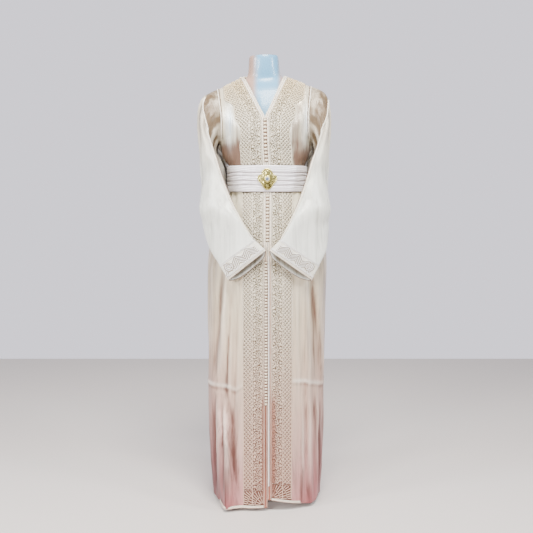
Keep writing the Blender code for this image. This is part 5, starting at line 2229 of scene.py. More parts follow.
    def piping(self, folded: Cloth) -> Piece:
        """Makes the doubled piping on the front fold and the cord round the armhole.

        Args:
            folded: the gathered sleeve.

        Returns:
            The finished piece.
        """
        label = self.side.label
        fold, way, out = self.fold_line(folded)
        hole = folded.patch(np.array([0.15, 0.35]), np.arange(0.0, folded.turns, 0.25))
        ring, up = hole.points[0], hole.facing[0]
        toward = np.array([-0.0030 * self.side.value, 0.0, 0.0])
        lines = [fold + out * 0.0016 + way * shift for shift in (-0.0019, 0.0019)]
        # dark cords of painted shadow beside the front fold and round the armhole
        shadow_lines = [fold + out * 0.0004 - way * 0.0052, ring + up * 0.0002 + toward]
        cords = sweep(self.finish.plain_cord, [*lines, ring + up * 0.0010], self.pipe, [False, False, True])
        shaded = sweep(self.finish.shade_line, shadow_lines, self.fold_seam, [False, True])
        made = merged(f"sleeve_piping_{label}_cord", [cords, shaded])
        return seat(made, "cord", f"sleeve_piping_{label}")


def merged(name: str, parts: Sequence[Piece]) -> Piece:
    """One piece out of several, their finishes kept.

    Args:
        name: name of the new piece.
        parts: pieces that go into it; they are removed.

    Returns:
        The new piece.
    """
    finishes: list[Material] = []
    shape = bmesh.new()
    for part in parts:
        slots = []
        for material in part.data.materials:
            if material not in finishes:
                finishes.append(material)
            slots.append(finishes.index(material))
        first = len(shape.faces)
        shape.from_mesh(part.data)
        shape.faces.ensure_lookup_table()
        for face in shape.faces[first:]:
            face.material_index = slots[face.material_index] if slots else 0
    mesh = bpy.data.meshes.new(name)
    shape.to_mesh(mesh)
    shape.free()
    for material in finishes:
        mesh.materials.append(material)
    made = linked(name, mesh)
    for part in parts:
        dropped(part)
    return made


@dataclass
class Strip:
    """A strip of cloth read in metres: across it and up it."""

    cloth: Cloth

    def __post_init__(self) -> None:
        """Measures the strip along its middle."""
        points = self.cloth.points
        middle = points.shape[1] // 2
        self.up = np.append(0.0, np.cumsum(np.linalg.norm(np.diff(points[:, middle], axis=0), axis=1)))
        self.length = float(self.up[-1])
        across = np.linalg.norm(np.diff(points, axis=1), axis=2)
        self.across = np.concatenate([np.zeros((len(points), 1)), np.cumsum(across, axis=1)], axis=1)
        self.width = float(self.across[:, -1].mean())

    def width_at(self, v: float) -> float:
        """Width of the strip at a distance up it."""
        return float(np.interp(v, self.up, self.across[:, -1]))

    def inside(self, x: float, v: float, margin: float = 0.0012) -> bool:
        """Whether a place lies on the strip."""
        return margin <= x <= self.width_at(v) - margin and margin <= v <= self.length - margin

    def line(self, places: Sequence[Place], lift: float) -> Array:
        """Points on the strip for places in metres, raised by a lift.

        Args:
            places: distances across and up.
            lift: how far the points stand over the strip.

        Returns:
            One point a place.
        """
        x, v = np.array(places, float).T
        row = np.interp(v, self.up, np.arange(len(self.up)))
        near = np.clip(np.floor(row).astype(int), 0, len(self.up) - 2)
        share = row - near
        index = np.arange(self.across.shape[1])
        low = np.array([np.interp(a, self.across[r], index) for a, r in zip(x, near)])
        high = np.array([np.interp(a, self.across[r + 1], index) for a, r in zip(x, near)])
        points, facing = self.cloth.read(row, low + (high - low) * share)
        return points + facing * lift

    def upright(self, x: float, step: float, margin: float = 0.0) -> list[Place]:
        """Places of a straight line up the strip, at a distance across it."""
        return [(x, v) for v in np.arange(margin, self.length - margin, step)]

    def lines(self, drawn: Iterable[Sequence[Place]], lift: float) -> list[Array]:
        """Several drawn lines, cut off where they leave the strip.

        Args:
            drawn: the lines as places in metres.
            lift: how far they stand over the strip.

        Returns:
            Points of each run on the strip.
        """
        made = []
        for line in drawn:
            run: list[Place] = []
            for place in [*line, None]:
                if place is not None and self.inside(*place):
                    run.append(place)
                    continue
                if len(run) > 1:
                    made.append(self.line(run, lift))
                run = []
        return made

    def dots(self, places: Sequence[Place], lift: float) -> Piece:
        """Loose points for beads at the places that lie on the strip."""
        return make_object("dots", self.line([place for place in places if self.inside(*place)], lift))


@dataclass
class Motifs:
    """Drawings of the embroidery, in metres on a strip: scrolls, leaves, rosettes, lattice and rays."""

    cell: tuple[float, float] = (0.0115, 0.0132)
    vine_pitch: float = 0.0240
    seed_gap: float = 0.0040
    curl: float = 0.0112
    leaf_width: float = 0.24
    # Rays at the hem: near end, far end, how many
    tiers: tuple = ((0.010, 0.026, 5), (0.031, 0.050, 9), (0.055, 0.080, 14))

    def lattice(self, low: float, high: float, length: float) -> list[list[Place]]:
        """Crossing diagonals between two distances across.

        Args:
            low: nearest distance across.
            high: farthest distance across.
            length: how far up it goes.

        Returns:
            The lines.
        """
        wide, tall = self.cell
        slope = tall / wide
        lines = []
        reach = (high - low) * slope
        count = int((length + reach) / tall) + 1
        steps = max(2, int((high - low) / 0.0028))
        for number in range(count):
            start = number * tall - reach
            places = np.linspace(0.0, 1.0, steps + 1)
            lines.append([(low + t * (high - low), start + t * reach) for t in places])
            lines.append([(high - t * (high - low), start + t * reach) for t in places])
        return lines

    def lattice_dots(self, low: float, high: float, length: float) -> list[Place]:
        """Middles of the lattice's cells.

        Args:
            low: nearest distance across.
            high: farthest distance across.
            length: how far up they go.

        Returns:
            The places.
        """
        wide, tall = self.cell
        spots = []
        for column in range(int((high - low) / (wide / 2)) + 1):
            for number in range(int(length / tall) + 1):
                spots.append((low + column * wide / 2, (number + 0.5 * (column % 2 == 0)) * tall))
        return spots

    def leaf(self, x: float, v: float, turn: float, size: float) -> list[list[Place]]:
        """A pointed leaf outline with its rib.

        Args:
            x: distance across of its foot.
            v: distance up of its foot.
            turn: direction in radians.
            size: its length.

        Returns:
            The outline, then the rib.
        """
        ahead = np.array([math.cos(turn), math.sin(turn)])
        aside = np.array([-math.sin(turn), math.cos(turn)])
        base = np.array([x, v])
        outline = []
        for step in range(13):
            t = step / 12
            way = t * 2 if t <= 0.5 else (1 - t) * 2
            out = math.sin(math.pi * way) * size * self.leaf_width * (1 if t <= 0.5 else -1)
            outline.append(tuple(base + ahead * size * way + aside * out))
        rib = [tuple(base + ahead * size * t) for t in (0.1, 0.35, 0.6, 0.85)]
        return [outline, rib]

    def rosette(self, x: float, v: float, radius: float, petals: int = 6) -> list[list[Place]]:
        """A flower of looped petals.

        Args:
            x: distance across.
            v: distance up.
            radius: reach of a petal.
            petals: number of petals.

        Returns:
            One outline a petal.
        """
        lines = []
        for number in range(petals):
            lines += self.leaf(x, v, 2 * math.pi * number / petals + 0.3, radius)[:1]
        return lines

    def scroll(self, x: float, v: float, radius: float, turn: float, way: float) -> list[Place]:
        """A spiral tendril.

        Args:
            x: distance across of its middle.
            v: distance up of its middle.
            radius: its outer radius.
            turn: where it starts, in radians.
            way: 1 or -1, the way it winds.

        Returns:
            The line.
        """
        line = []
        for step in range(16):
            t = step / 15
            reach = radius * (1.0 - 0.82 * t)
            angle = turn + way * t * 1.55 * 2 * math.pi
            line.append((x + reach * math.cos(angle), v + reach * math.sin(angle)))
        return line

    def vine(self, low: float, high: float, length: float) -> tuple[list, list]:
        """A waving stem with leaves, scrolls and rosettes in its bends, and seed stitches between.

        Args:
            low: nearest distance across.
            high: farthest distance across.
            length: how far up it goes.

        Returns:
            The lines and the places of the rosettes' beads.
        """
        draw = np.random.default_rng(17)
        middle, wide = (low + high) / 2, high - low
        lines, spots = [], []
        for number in range(int(length / self.vine_pitch) + 2):
            v = (number + 0.5) * self.vine_pitch
            side = -1.0 if number % 2 == 0 else 1.0
            x = middle + side * wide * 0.15
            start = draw.uniform(-0.4, 0.4) + (math.pi if side > 0 else 0.0)
            curl = [(self.curl * (1.0 - t / 13.0), start + side * t) for t in np.arange(0.0, 10.5, 0.42)]
            lines.append([(x + r * math.cos(a), v + r * math.sin(a)) for r, a in curl])
            lines += self.rosette(x, v, 0.0030, 5)
            spots.append((x, v))
            far = middle - side * wide * 0.33
            lines += self.rosette(far, v, 0.0044 + draw.uniform(0.0, 0.0008))
            spots.append((far, v))
            for lean in (-1.1, -0.3, 0.5, 1.2):
                size = draw.uniform(0.0062, 0.0088)
                leaf_x = x + side * self.curl * math.cos(lean)
                leaf_v = v + (self.curl + 0.0010) * math.sin(lean)
                lines += self.leaf(leaf_x, leaf_v, math.atan2(lean, side), size)
            bend = v + self.vine_pitch / 2
            lines.append(self.scroll(far, bend, 0.0040, draw.uniform(0.0, 6.28), side))
        return lines + self.seeds(low, high, length, lines, draw), spots

    def seeds(self, low: float, high: float, length: float, lines: list[list[Place]],
              draw: np.random.Generator) -> list[list[Place]]:
        """Short stitches scattered where no other line runs.

        Args:
            low: nearest distance across.
            high: farthest distance across.
            length: how far up they go.
            lines: what is drawn already.
            draw: source of the random numbers.

        Returns:
            The stitches.
        """
        taken = np.array([place for line in lines for place in line])
        stitches = []
        for v in np.arange(0.002, length, self.seed_gap):
            for x in np.arange(low + 0.001, high, self.seed_gap):
                place = np.array([x, v]) + draw.uniform(-0.0010, 0.0010, 2)
                lean = draw.uniform(0.0, math.pi)
                if np.abs(taken - place).sum(axis=1).min() > 0.0030:
                    reach = 0.0013 * np.array([math.cos(lean), math.sin(lean)])
                    stitches.append([tuple(place - reach), tuple(place + reach)])
        return stitches

    def sunburst(self, top: float) -> list[list[Place]]:
        """Rays in tiers that spread from the front edge at the hem.

        Args:
            top: height that the rays stay under.

        Returns:
            The lines.
        """
        lines = []
        for near, far, count in self.tiers:
            along = np.linspace(near, far, 8)
            for angle in np.linspace(0.10, math.pi / 2 - 0.04, count):
                lines.append([(r * math.cos(angle), r * math.sin(angle)) for r in along])
            rim = far + 0.0025
            quarter = np.linspace(0.0, math.pi / 2, 16)
            lines.append([(rim * math.cos(a), rim * math.sin(a)) for a in quarter])
        return [[place for place in line if place[1] < top] for line in lines]


@dataclass
class Embroidery:
    """Corded and beaded work beside the front edge, over the chest and down the skirt."""

    cut: GownCut
    finish: Finishes
    side: Side
    panel: Cloth
    motifs: Motifs = field(default_factory=Motifs)
    inner: tuple[float, float] = (0.0030, 0.0350)
    line_at: float = 0.0368
    border: float = 0.048
    trim_swell: float = 0.0006
    couching: CordSize = CordSize(0.0014, 0.0026)
    trim_cord: CordSize = CordSize(0.0014, 0.0022, 6, 900.0)
    # dark cord of painted shadow beside the front trim
    seam: CordSize = CordSize(0.0006, 0.004)
    stitch: CordSize = CordSize(0.0004, 0.0022)
    hem_cord: CordSize = CordSize(0.0010, 0.004, 5)

    def work(self, name: str, rows: tuple[float, float], foot: float) -> Piece:
        """Makes one embroidered panel.

        Args:
            name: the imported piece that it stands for.
            rows: first and last row of the gown's grid.
            foot: height of the sunburst border at its foot, or 0.

        Returns:
            The finished piece.
        """
        row_at = self.panel.row_at
        row_at = row_at[(row_at >= rows[0] - 1e-9) & (row_at <= rows[1] + 1e-9)]
        cols = np.linspace(TRIM_COLUMN + 0.02, EDGE_COLUMN, 19)
        ground = self.panel.patch(row_at, cols, LIFT + PANEL_THICK)
        base = dress(ground.solid("ground", PANEL_THICK, SEAM_GAP), self.finish.needlework)
        strip = Strip(ground)
        lattice_span = (self.line_at + 0.0015, float(strip.across[:, -1].max()) - 0.001, strip.length)
        start = foot + 0.003 if foot else 0.0
        drawn, spots = self.motifs.vine(*self.inner, strip.length)
        drawn += self.motifs.lattice(*lattice_span)
        if foot:
            drawn = [[place for place in line if place[1] > start] for line in drawn]
            drawn += self.motifs.sunburst(foot - 0.002)
            drawn = [line for line in drawn if len(line) > 1]
            spots = [place for place in spots if place[1] > start]
            spots += [(x, foot) for x in np.arange(0.004, 0.07, 0.005)]
        drawn += [strip.upright(x, 0.005) for x in (0.0016, self.line_at)]
        drawn.append([(strip.width_at(v) - 0.0018, v) for _, v in strip.upright(0.0, 0.005)])
        cords = sweep(self.finish.couched, strip.lines(drawn, 0.0005), self.couching)
        dots = [place for place in self.motifs.lattice_dots(*lattice_span) if place[1] > start]
        seeds = self.finish.beads.run("seeds", strip.dots(dots + spots, 0.0008), Size=0.0013)
        made = merged(f"{name}_work", [base, cords, seeds])
        return seat(made, "embroidery", name)

    def trim(self) -> Piece:
        """Makes the corded trim of the front edge, from hem to shoulder.

        Returns:
            The finished piece.
        """
        name = f"edge_trim_{self.side.label}"
        rows, cols = self.panel.row_at, np.linspace(0.0, TRIM_COLUMN, 9)
        rise = LIFT + TRIM_THICK + self.trim_swell * bell(cols / TRIM_COLUMN, 0.45, 0.25)
        ground = self.panel.patch(rows, cols, np.broadcast_to(rise, (len(rows), len(cols))))
        base = dress(ground.solid("braid", rise - LIFT, SEAM_GAP), self.finish.rose_trim)
        strip = Strip(ground)
        edges = (0.0019, strip.width - 0.0016)
        paths = [strip.line(strip.upright(x, 0.004, 0.002), -0.0001) for x in edges]
        cords = sweep(self.finish.twisted, paths, self.trim_cord)
        # dark cords of painted shadow beside the braid and down its middle
        places = (strip.width + 0.0004, strip.width * 0.5)
        shadow_lines = [strip.line(strip.upright(x, 0.005, 0.002), -0.0002) for x in places]
        shaded = sweep(self.finish.shade_line, shadow_lines, self.seam)
        made = merged(f"{name}_braid", [base, cords, shaded])
        return seat(made, "cord", name)

    def hem_tape(self) -> Piece:
        """Makes the narrow tape along the hem with its row of stitches.

        Returns:
            The finished piece.
        """
        name = f"hem_tape_{self.side.label}"
        last = EDGE_COLUMN + (4 if self.side is Side.RIGHT else 3)
        cols = np.linspace(TRIM_COLUMN + 0.02, last, 70)
        ground = self.panel.patch(np.linspace(0.0, 0.97, 4), cols, LIFT + PANEL_THICK)
        base = dress(ground.solid("tape", PANEL_THICK, SEAM_GAP), self.finish.hem)
        strip = Strip(ground)
        level = strip.length * 0.72
        starts = np.arange(0.002, strip.width - 0.004, 0.0036)
        stitches = [[(x, level), (x + 0.0022, level)] for x in starts]
        sewn = sweep(self.finish.couched, strip.lines(stitches, 0.0002), self.stitch)
        edge = [(x, strip.length * 0.16) for x in np.arange(0.0015, strip.width - 0.0015, 0.004)]
        piping = sweep(self.finish.plain_cord, strip.lines([edge], 0.0003), self.hem_cord)
        made = merged(f"{name}_sewn", [base, sewn, piping])
        return seat(made, "cord", name)

    def build(self) -> list[Piece]:
        """Makes the trim, both embroidered panels and the hem tape of this side.

        Returns:
            The four pieces.
        """
        label = self.side.label
        heights = [row[0] for row in self.cut.body]
        top = len(heights) + len(self.cut.yoke) - 2
        return [
            self.trim(),
            self.work(f"chest_embroidery_{label}", (heights.index(BELT_TOP), top), 0.0),
            self.work(f"skirt_embroidery_{label}", (1, heights.index(BELT_FOOT)), self.border),
            self.hem_tape(),
        ]


@dataclass(frozen=True)
class ButtonRow:
    """Sizes of a row of buttons: half sizes of a button, and the row's shift across."""

    name: str
    top: float
    foot: float
    pitch: float
    wide: float
    across: float
    tall: float
    deep: float

    @property
    def count(self) -> int:
        """Number of buttons."""
        return int(round((self.top - self.foot) / self.pitch))


@dataclass
class FrontClosing:
    """Button rows over the meeting trims and the white cord beside the lower one."""

    finish: Finishes
    right: Cloth
    left: Cloth
    base: float = LIFT + TRIM_THICK + CORD_RISE + LIFT
    rows: tuple[ButtonRow, ...] = (
        ButtonRow("button_row_upper", 1.272, 1.132, 0.0114, 0.0056, 0.0, 0.0040, 0.0030),
        ButtonRow("button_row_middle", 1.026, 0.872, 0.0114, 0.0056, 0.0, 0.0040, 0.0030),
        ButtonRow("button_row_lower", 0.810, 0.340, 0.0100, 0.0044, -0.0052, 0.0036, 0.0030),
    )
    cord_span: Place = (0.826, 0.080)
    loop: CordSize = CordSize(0.00055, 0.0022)
    bright: CordSize = CordSize(0.0017, 0.005, 8)

    def edge(self, z: Array, panel: Cloth) -> tuple[Array, Array]:
        """Points of a panel's front edge at heights, and the way it faces there.

        Args:
            z: the heights.
            panel: the panel as packed.

        Returns:
            The points and the facings.
        """
        line = panel.points[:, 0]

        def at(heights: Array) -> Array:
            """Points of the edge at heights."""
            return np.stack([np.interp(heights, line[:, 2], line[:, axis]) for axis in range(3)], axis=-1)

        run = at(z + 0.006) - at(z - 0.006)
        return at(z), unit(np.stack([np.zeros(len(run)), -run[:, 2], run[:, 1]], axis=-1))

    def tape(self, row: ButtonRow) -> Piece:
        """Makes the dark tape under a row, a painted shade that shows between the buttons.

        Args:
            row: sizes of the row.

        Returns:
            The tape.
        """
        z = np.linspace(row.foot, row.top, 3 * row.count + 1)
        spots, facing = self.edge(z, self.right)
        half = row.wide * 0.98
        profile = ((-half, 0.0002), (-half * 0.8, 0.0010), (half * 0.8, 0.0010), (half, 0.0002))
        ring = [spots + ASIDE * (x + row.across) + facing * (self.base + out - SUNK) for x, out in profile]
        facings = np.repeat(facing[:, None], 4, axis=1)
        cloth = Cloth(np.stack(ring, axis=1), np.arange(len(z), dtype=float), np.arange(4.0), facings)
        return dress(cloth.solid("tape", 0.0005), self.finish.gap)

    def knots(self, row: ButtonRow, centres: Array) -> Piece:
        """Makes the wound buttons: balls drawn to the row's width and depth, with lumps of thread.

        Args:
            row: sizes of the row.
            centres: middle of each button.

        Returns:
            The buttons.
        """
        knots = self.finish.knots.run("knots", make_object("dots", centres), Size=row.tall, Detail=2)
        places = np.empty(len(knots.data.vertices) * 3)
        knots.data.vertices.foreach_get("co", places)
        places = places.reshape(-1, 3)
        own = np.repeat(centres, len(places) // len(centres), axis=0)
        away = places - own
        lumps = 1.0 + 0.05 * np.sin(away[:, 0] / row.wide * 9.0 + away[:, 2] / row.tall * 4.0)
        places = own + away * np.array([row.wide / row.tall, row.deep / row.tall, 1.0]) * lumps[:, None]
        knots.data.vertices.foreach_set("co", places.ravel())
        return knots

    def loops(self, row: ButtonRow, spots: Array, facing: Array) -> Piece:
        """Makes the two cord loops of each button.

        Args:
            row: sizes of the row.
            spots: the front edge at each button.
            facing: the way that the edge faces there.

        Returns:
            The loops.
        """
        t = np.linspace(0.0, 1.0, 6)[:, None]
        lines = []
        for spot, face in zip(spots, facing):
            for way in (-1.0, 1.0):
                across = (way * (row.wide + 0.0022), way * row.wide * 0.9, way * row.wide * 0.2)
                out = (-0.0006, row.deep * 0.7, row.deep * 1.5)
                up = (0.0, row.tall * 0.55, row.tall * 0.1)
                start, bend, end = (
                    spot + ASIDE * (row.across + x) + face * (self.base + y) + np.array([0.0, 0.0, z])
                    for x, y, z in zip(across, out, up)
                )
                lines.append((1 - t) ** 2 * start + 2 * t * (1 - t) * bend + t**2 * end)
        return sweep(self.finish.plain_cord, lines, self.loop)

    def row(self, row: ButtonRow) -> Piece:
        """Makes one row: a shaded tape, a wound button at each step and its loops.

        Args:
            row: sizes of the row.

        Returns:
            The finished piece.
        """
        tape = self.tape(row)
        step = (row.top - row.foot) / row.count
        heights = row.top - step * (np.arange(row.count) + 0.5)
        spots, facing = self.edge(heights, self.right)
        centres = spots + ASIDE * row.across + facing * (self.base + row.deep * 0.62)
        made = merged(f"{row.name}_knots", [tape, self.knots(row, centres), self.loops(row, spots, facing)])
        return seat(made, "button", row.name)

    def white_cord(self) -> Piece:
        """Makes the bright cord that runs beside the lower buttons.

        Returns:
            The finished piece.
        """
        spots, facing = self.edge(np.linspace(*self.cord_span, 120), self.left)
        path = spots + ASIDE * 0.0042 + facing * (self.base + 0.0010)
        made = sweep(self.finish.white_line, [path], self.bright, name="front_edge_cord_line")
        return seat(made, "cord", "front_edge_cord")

    def build(self) -> list[Piece]:
        """Makes the three rows and the cord."""
        return [self.row(row) for row in self.rows] + [self.white_cord()]


@dataclass
class Belt:
    """Band of pleated satin round the waist."""

    cut: GownCut
    finish: Finishes
    steps: int = 176
    front: float = 0.0
    # Columns: height, rise over the belt's inside
    pleats: tuple = (
        (1.1210, 0.0020), (1.1185, 0.0040), (1.1010, 0.0048), (1.0970, 0.0022), (1.0930, 0.0046),
        (1.0890, 0.0046), (1.0860, 0.0022), (1.0825, 0.0048), (1.0735, 0.0048), (1.0700, 0.0022),
        (1.0665, 0.0048), (1.0595, 0.0048), (1.0560, 0.0022), (1.0525, 0.0048), (1.0375, 0.0042),
        (1.0340, 0.0020),
    )

    def spots(self, angle: Array, z: Array, out: Numbers) -> Array:
        """Points round the waist, raised over the gown.

        Args:
            angle: turn about the middle, 0 at the front.
            z: heights.
            out: how far each point stands over the gown.

        Returns:
            One point for each angle.
        """
        rows = {row[0]: row for row in self.cut.body}
        low, high = rows[BELT_FOOT], rows[BELT_TOP]
        share = (z - BELT_FOOT) / (BELT_TOP - BELT_FOOT)
        half, ahead, behind = (low[column] + share * (high[column] - low[column]) for column in (2, 3, 4))
        sine, cosine = np.sin(angle), np.cos(angle)
        depth = np.where(cosine > 0, ahead, behind)
        power = 2.0 / low[5]
        x = half * np.sign(sine) * np.abs(sine) ** power
        y = -depth * np.sign(cosine) * np.abs(cosine) ** power
        facing = unit(np.stack([sine / half, -cosine / depth, np.zeros_like(sine)], axis=-1))
        return self.cut.lean(np.stack([x, y, z], axis=-1) + facing * np.asarray(out)[..., None])

    def build(self) -> Piece:
        """Makes the belt as one closed band.

        Returns:
            The finished piece.
        """
        heights, rises = np.array(self.pleats).T
        order = np.argsort(heights)
        fine = np.linspace(BELT_FOOT, BELT_TOP, 76)
        rise = np.interp(fine, heights[order], rises[order])
        angle = np.arange(self.steps) * 2 * math.pi / self.steps
        z, a = np.meshgrid(fine, angle, indexing="ij")
        wander = 0.0011 * np.sin(a * 3.0 + 0.8) + 0.0007 * np.sin(a * 7.0 + z * 90.0)
        inner = window(z, (BELT_FOOT, BELT_FOOT + 0.012), (BELT_TOP - 0.012, BELT_TOP))
        relief = np.interp((z + wander * inner).ravel(), fine, rise).reshape(z.shape)
        pinch = 0.0004 * np.sin(z * 900.0 + 2.5 * np.sin(a * 5.0)) * inner
        outside = self.spots(a, z, BELT_INSIDE + relief + pinch)
        within = self.spots(a, z, np.full(z.shape, BELT_INSIDE))
        cloth = Cloth(outside, fine, angle, np.zeros_like(outside), True)
        cloth.face(1.0)
        if float((cloth.facing[..., :2] * outside[..., :2]).sum(axis=-1).mean()) < 0:
            cloth.face(-1.0)
        made = cloth.solid("belt_pleated", 0.001)
        # the true inside takes the place of the even wall
        places = np.concatenate([outside.reshape(-1, 3), within.reshape(-1, 3)])
        made.data.vertices.foreach_set("co", places.ravel())
        made.data.update()
        # painted shade in the pleats' valleys and along the foot of the band
        hollow = np.clip((0.0040 - relief) / 0.0018, 0.0, 1.0) * inner * 0.8
        hollow += 0.7 * (1.0 - ramp(z, BELT_FOOT, BELT_FOOT + 0.004))
        write_tone(made, "hollow", np.concatenate([np.clip(hollow, 0, 1).ravel(), np.zeros(z.size)]))
        dress(made, self.finish.belt)
        seat(made, "belt_satin", "belt")
        LOG.info("belt cloth %.3f m2", cloth.area())
        self.front = float(outside[..., 1].min())
        return made


@dataclass
class Buckle:
    """Gilt buckle: lobed plate, raised boss and its stone."""

    cut: GownCut
    finish: Finishes
    front: float
    # Columns: degrees from the top, distance from the middle; the same on both sides
    outline: tuple = (
        (0, 0.0350), (14, 0.0342), (26, 0.0318), (38, 0.0284), (49, 0.0258), (58, 0.0276),
        (67, 0.0310), (78, 0.0326), (90, 0.0324), (100, 0.0306), (110, 0.0282), (122, 0.0268),
        (134, 0.0266), (146, 0.0284), (156, 0.0312), (166, 0.0340), (174, 0.0354), (180, 0.0358),
    )
    rings: int = 30
    steps: int = 150
    # Middles of the two pin holes, across and up from the plate's middle
    pin_holes: tuple[Place, ...] = ((-0.0262, 0.0086), (0.0256, 0.0108))
    pin_radius: float = 0.0021
    boss_half: Place = (0.0105, 0.0125)
    stone_half: Place = (0.0050, 0.0055)
    bezel: CordSize = CordSize(0.0008, 0.0008, 8)

    def sheet_of(self, name: str, centre: tuple, reach: Array, share: Array, out: Array) -> Piece:
        """A closed relief in polar rings: its face by height, and a flat back.

        Args:
            name: the piece's name.
            centre: middle of its back.
            reach: outline distance at each step.
            share: share of the outline at each ring, outermost first.
            out: height of the face at each ring and step.

        Returns:
            The object.
        """
        steps = len(reach)
        angle = np.arange(steps) * 2 * math.pi / steps
        x = share[:, None] * reach * np.sin(angle)
        z = share[:, None] * reach * np.cos(angle)
        face = np.stack([x + centre[0], centre[1] - out, z + centre[2]], axis=-1)
        rear = np.stack([x[0] + centre[0], np.full(steps, centre[1]), z[0] + centre[2]], axis=-1)
        points = self.cut.lean(np.concatenate([rear, face.reshape(-1, 3)]))
        faces = []
        for ring in range(len(share)):
            for step in range(steps):
                here, after = ring * steps + step, ring * steps + (step + 1) % steps
                faces.append((here, here + steps, after + steps, after))
        last = len(points) - 1
        faces += [tuple(range(steps)), tuple(range(last, last - steps, -1))]
        made = make_object(name, points, faces)
        if not outward_faces(made):
            made.data.flip_normals()
        return made

    def plate(self) -> Piece:
        """Makes the lobed plate with its rim, chased ground and pin holes.

        Returns:
            The finished piece.
        """
        degrees, lengths = np.array(self.outline, float).T
        turn = np.arange(self.steps) * 360.0 / self.steps
        folded = np.where(turn > 180.0, 360.0 - turn, turn)
        reach = smooth_curve(degrees, lengths[:, None], folded)[:, 0]
        share = np.linspace(1.0, 0.02, self.rings)
        s, a = np.meshgrid(share, np.radians(turn), indexing="ij")
        groove, ridge = bell(s, 0.84, 0.045), bell(s, 0.92, 0.03)
        rim = 0.0026 * ramp(1.0 - s, 0.0, 0.05) - 0.0007 * groove + 0.0010 * ridge
        beads = 0.0004 * ridge * np.sin(a * 56.0)
        petals = 0.0006 * bell(s, 0.62, 0.12) * np.cos(a * 8.0)
        petals += 0.0004 * bell(s, 0.72, 0.05) * np.sin(a * 24.0)
        swell = 0.0014 * ramp(1.0 - s, 0.15, 0.6)
        x, z = s * reach * np.sin(a), s * reach * np.cos(a)
        holes = np.zeros_like(x)
        for cx, cz in self.pin_holes:
            holes = np.maximum(holes, np.exp(-(((x - cx) ** 2 + (z - cz) ** 2) / self.pin_radius**2) ** 2))
        out = np.maximum(rim + beads + petals + swell - holes * 0.0016, 0.0002)
        centre = (0.0, self.front - INTO_BELT, BUCKLE_Z)
        made = self.sheet_of("buckle_plate_chased", centre, reach, share, out)
        # painted shade in the pin holes, the groove, between the petals, in a ring inside them and over the
        # lower half
        tone = holes * 1.6 + 0.45 * ramp(-z, 0.002, 0.030) + 0.7 * groove
        tone += (0.0004 - petals) / 0.0016 * bell(s, 0.64, 0.2) + 0.6 * bell(s, 0.42, 0.06)
        write_tone(made, "hollow", np.concatenate([np.zeros(self.steps), np.clip(tone, 0, 1).ravel()]))
        dress(made, self.finish.gilt)
        return seat(made, "gilt", "buckle_plate")

    def boss(self, centre: tuple) -> Piece:
        """Makes the fluted boss with its bezel.

        Args:
            centre: middle of its back.

        Returns:
            The finished piece.
        """
        steps, rings = 72, 16
        angle = np.arange(steps) * 2 * math.pi / steps
        share = dome_rings(rings)
        s, a = np.meshgrid(share, angle, indexing="ij")
        flute = 0.0005 * np.cos(a * 10.0) * bell(s, 0.78, 0.2)
        out = 0.0042 * np.sqrt(np.maximum(0.0, 1.0 - s**2)) + flute * (1.0 - s**6)
        made = self.sheet_of("dome", centre, ellipse(angle, *self.boss_half), share, out)
        # painted shade in the flutes
        tone = np.clip(0.5 - flute.ravel() / 0.0009, 0, 1) * 0.7
        write_tone(made, "hollow", np.concatenate([np.zeros(steps), tone]))
        dress(made, self.finish.gilt)
        turn = np.arange(28) * 2 * math.pi / 28
        x, z = centre[0] + 0.0056 * np.sin(turn), centre[2] + 0.0061 * np.cos(turn)
        path = self.cut.lean(np.stack([x, np.full(28, centre[1] - 0.0042), z], axis=-1))
        bezel = sweep(cord_pattern("bezel", self.finish.enamel), [path], self.bezel, [True])
        made = merged("buckle_boss_fluted", [made, bezel])
        return seat(made, "gilt", "buckle_boss")

    def stone(self, centre: tuple) -> Piece:
        """Makes the polished stone.

        Args:
            centre: middle of its back.

        Returns:
            The finished piece.
        """
        steps, rings = 40, 12
        angle = np.arange(steps) * 2 * math.pi / steps
        share = dome_rings(rings)
        out = 0.0028 * np.sqrt(np.maximum(0.0, 1.0 - share**2))[:, None] * np.ones(steps)
        made = self.sheet_of("buckle_stone_cut", centre, ellipse(angle, *self.stone_half), share, out)
        dress(made, self.finish.stone)
        return seat(made, "stone", "buckle_stone")

    def build(self) -> list[Piece]:
        """Makes the plate, the boss and the stone.

        Returns:
            The three pieces.
        """
        face = self.front - INTO_BELT - 0.0034
        centre = (0.0, face - 0.0002, BUCKLE_Z + 0.001)
        return [self.plate(), self.boss(centre), self.stone((centre[0], centre[1] - 0.0044, centre[2]))]


def dome_rings(rings: int) -> Array:
    """Share of the outline at each ring of a dome, outermost first."""
    return np.cos(np.linspace(0.0, math.pi / 2 * 0.97, rings))


def ellipse(angle: Array, across: float, tall: float) -> Array:
    """Distance from the middle to the edge of an ellipse of two half sizes."""
    return across * tall / np.hypot(tall * np.sin(angle), across * np.cos(angle))


def outward_faces(made: Piece) -> bool:
    """Whether a closed mesh encloses a positive volume.

    Args:
        made: the mesh's object.

    Returns:
        Whether its faces point outward.
    """
    shape = bmesh.new()
    shape.from_mesh(made.data)
    volume = shape.calc_volume(signed=True)
    shape.free()
    return volume > 0.0


@dataclass
class DressForm:
    """Limbless glossy form on a steel pole with a round base plate."""

    finish: Finishes
    # Columns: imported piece, its slot
    parts: tuple = (("form_torso", "form_gloss"), ("pole", "steel"), ("base_plate", "steel"))

    def build(self) -> None:
        """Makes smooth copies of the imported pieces."""
        for node, slot in self.parts:
            made = smooth_copy(node, f"{node}_shell", 2 if node == "form_torso" else 1)
            dress(made, self.finish.form if node == "form_torso" else self.finish.steel)
            seat(made, slot, node)


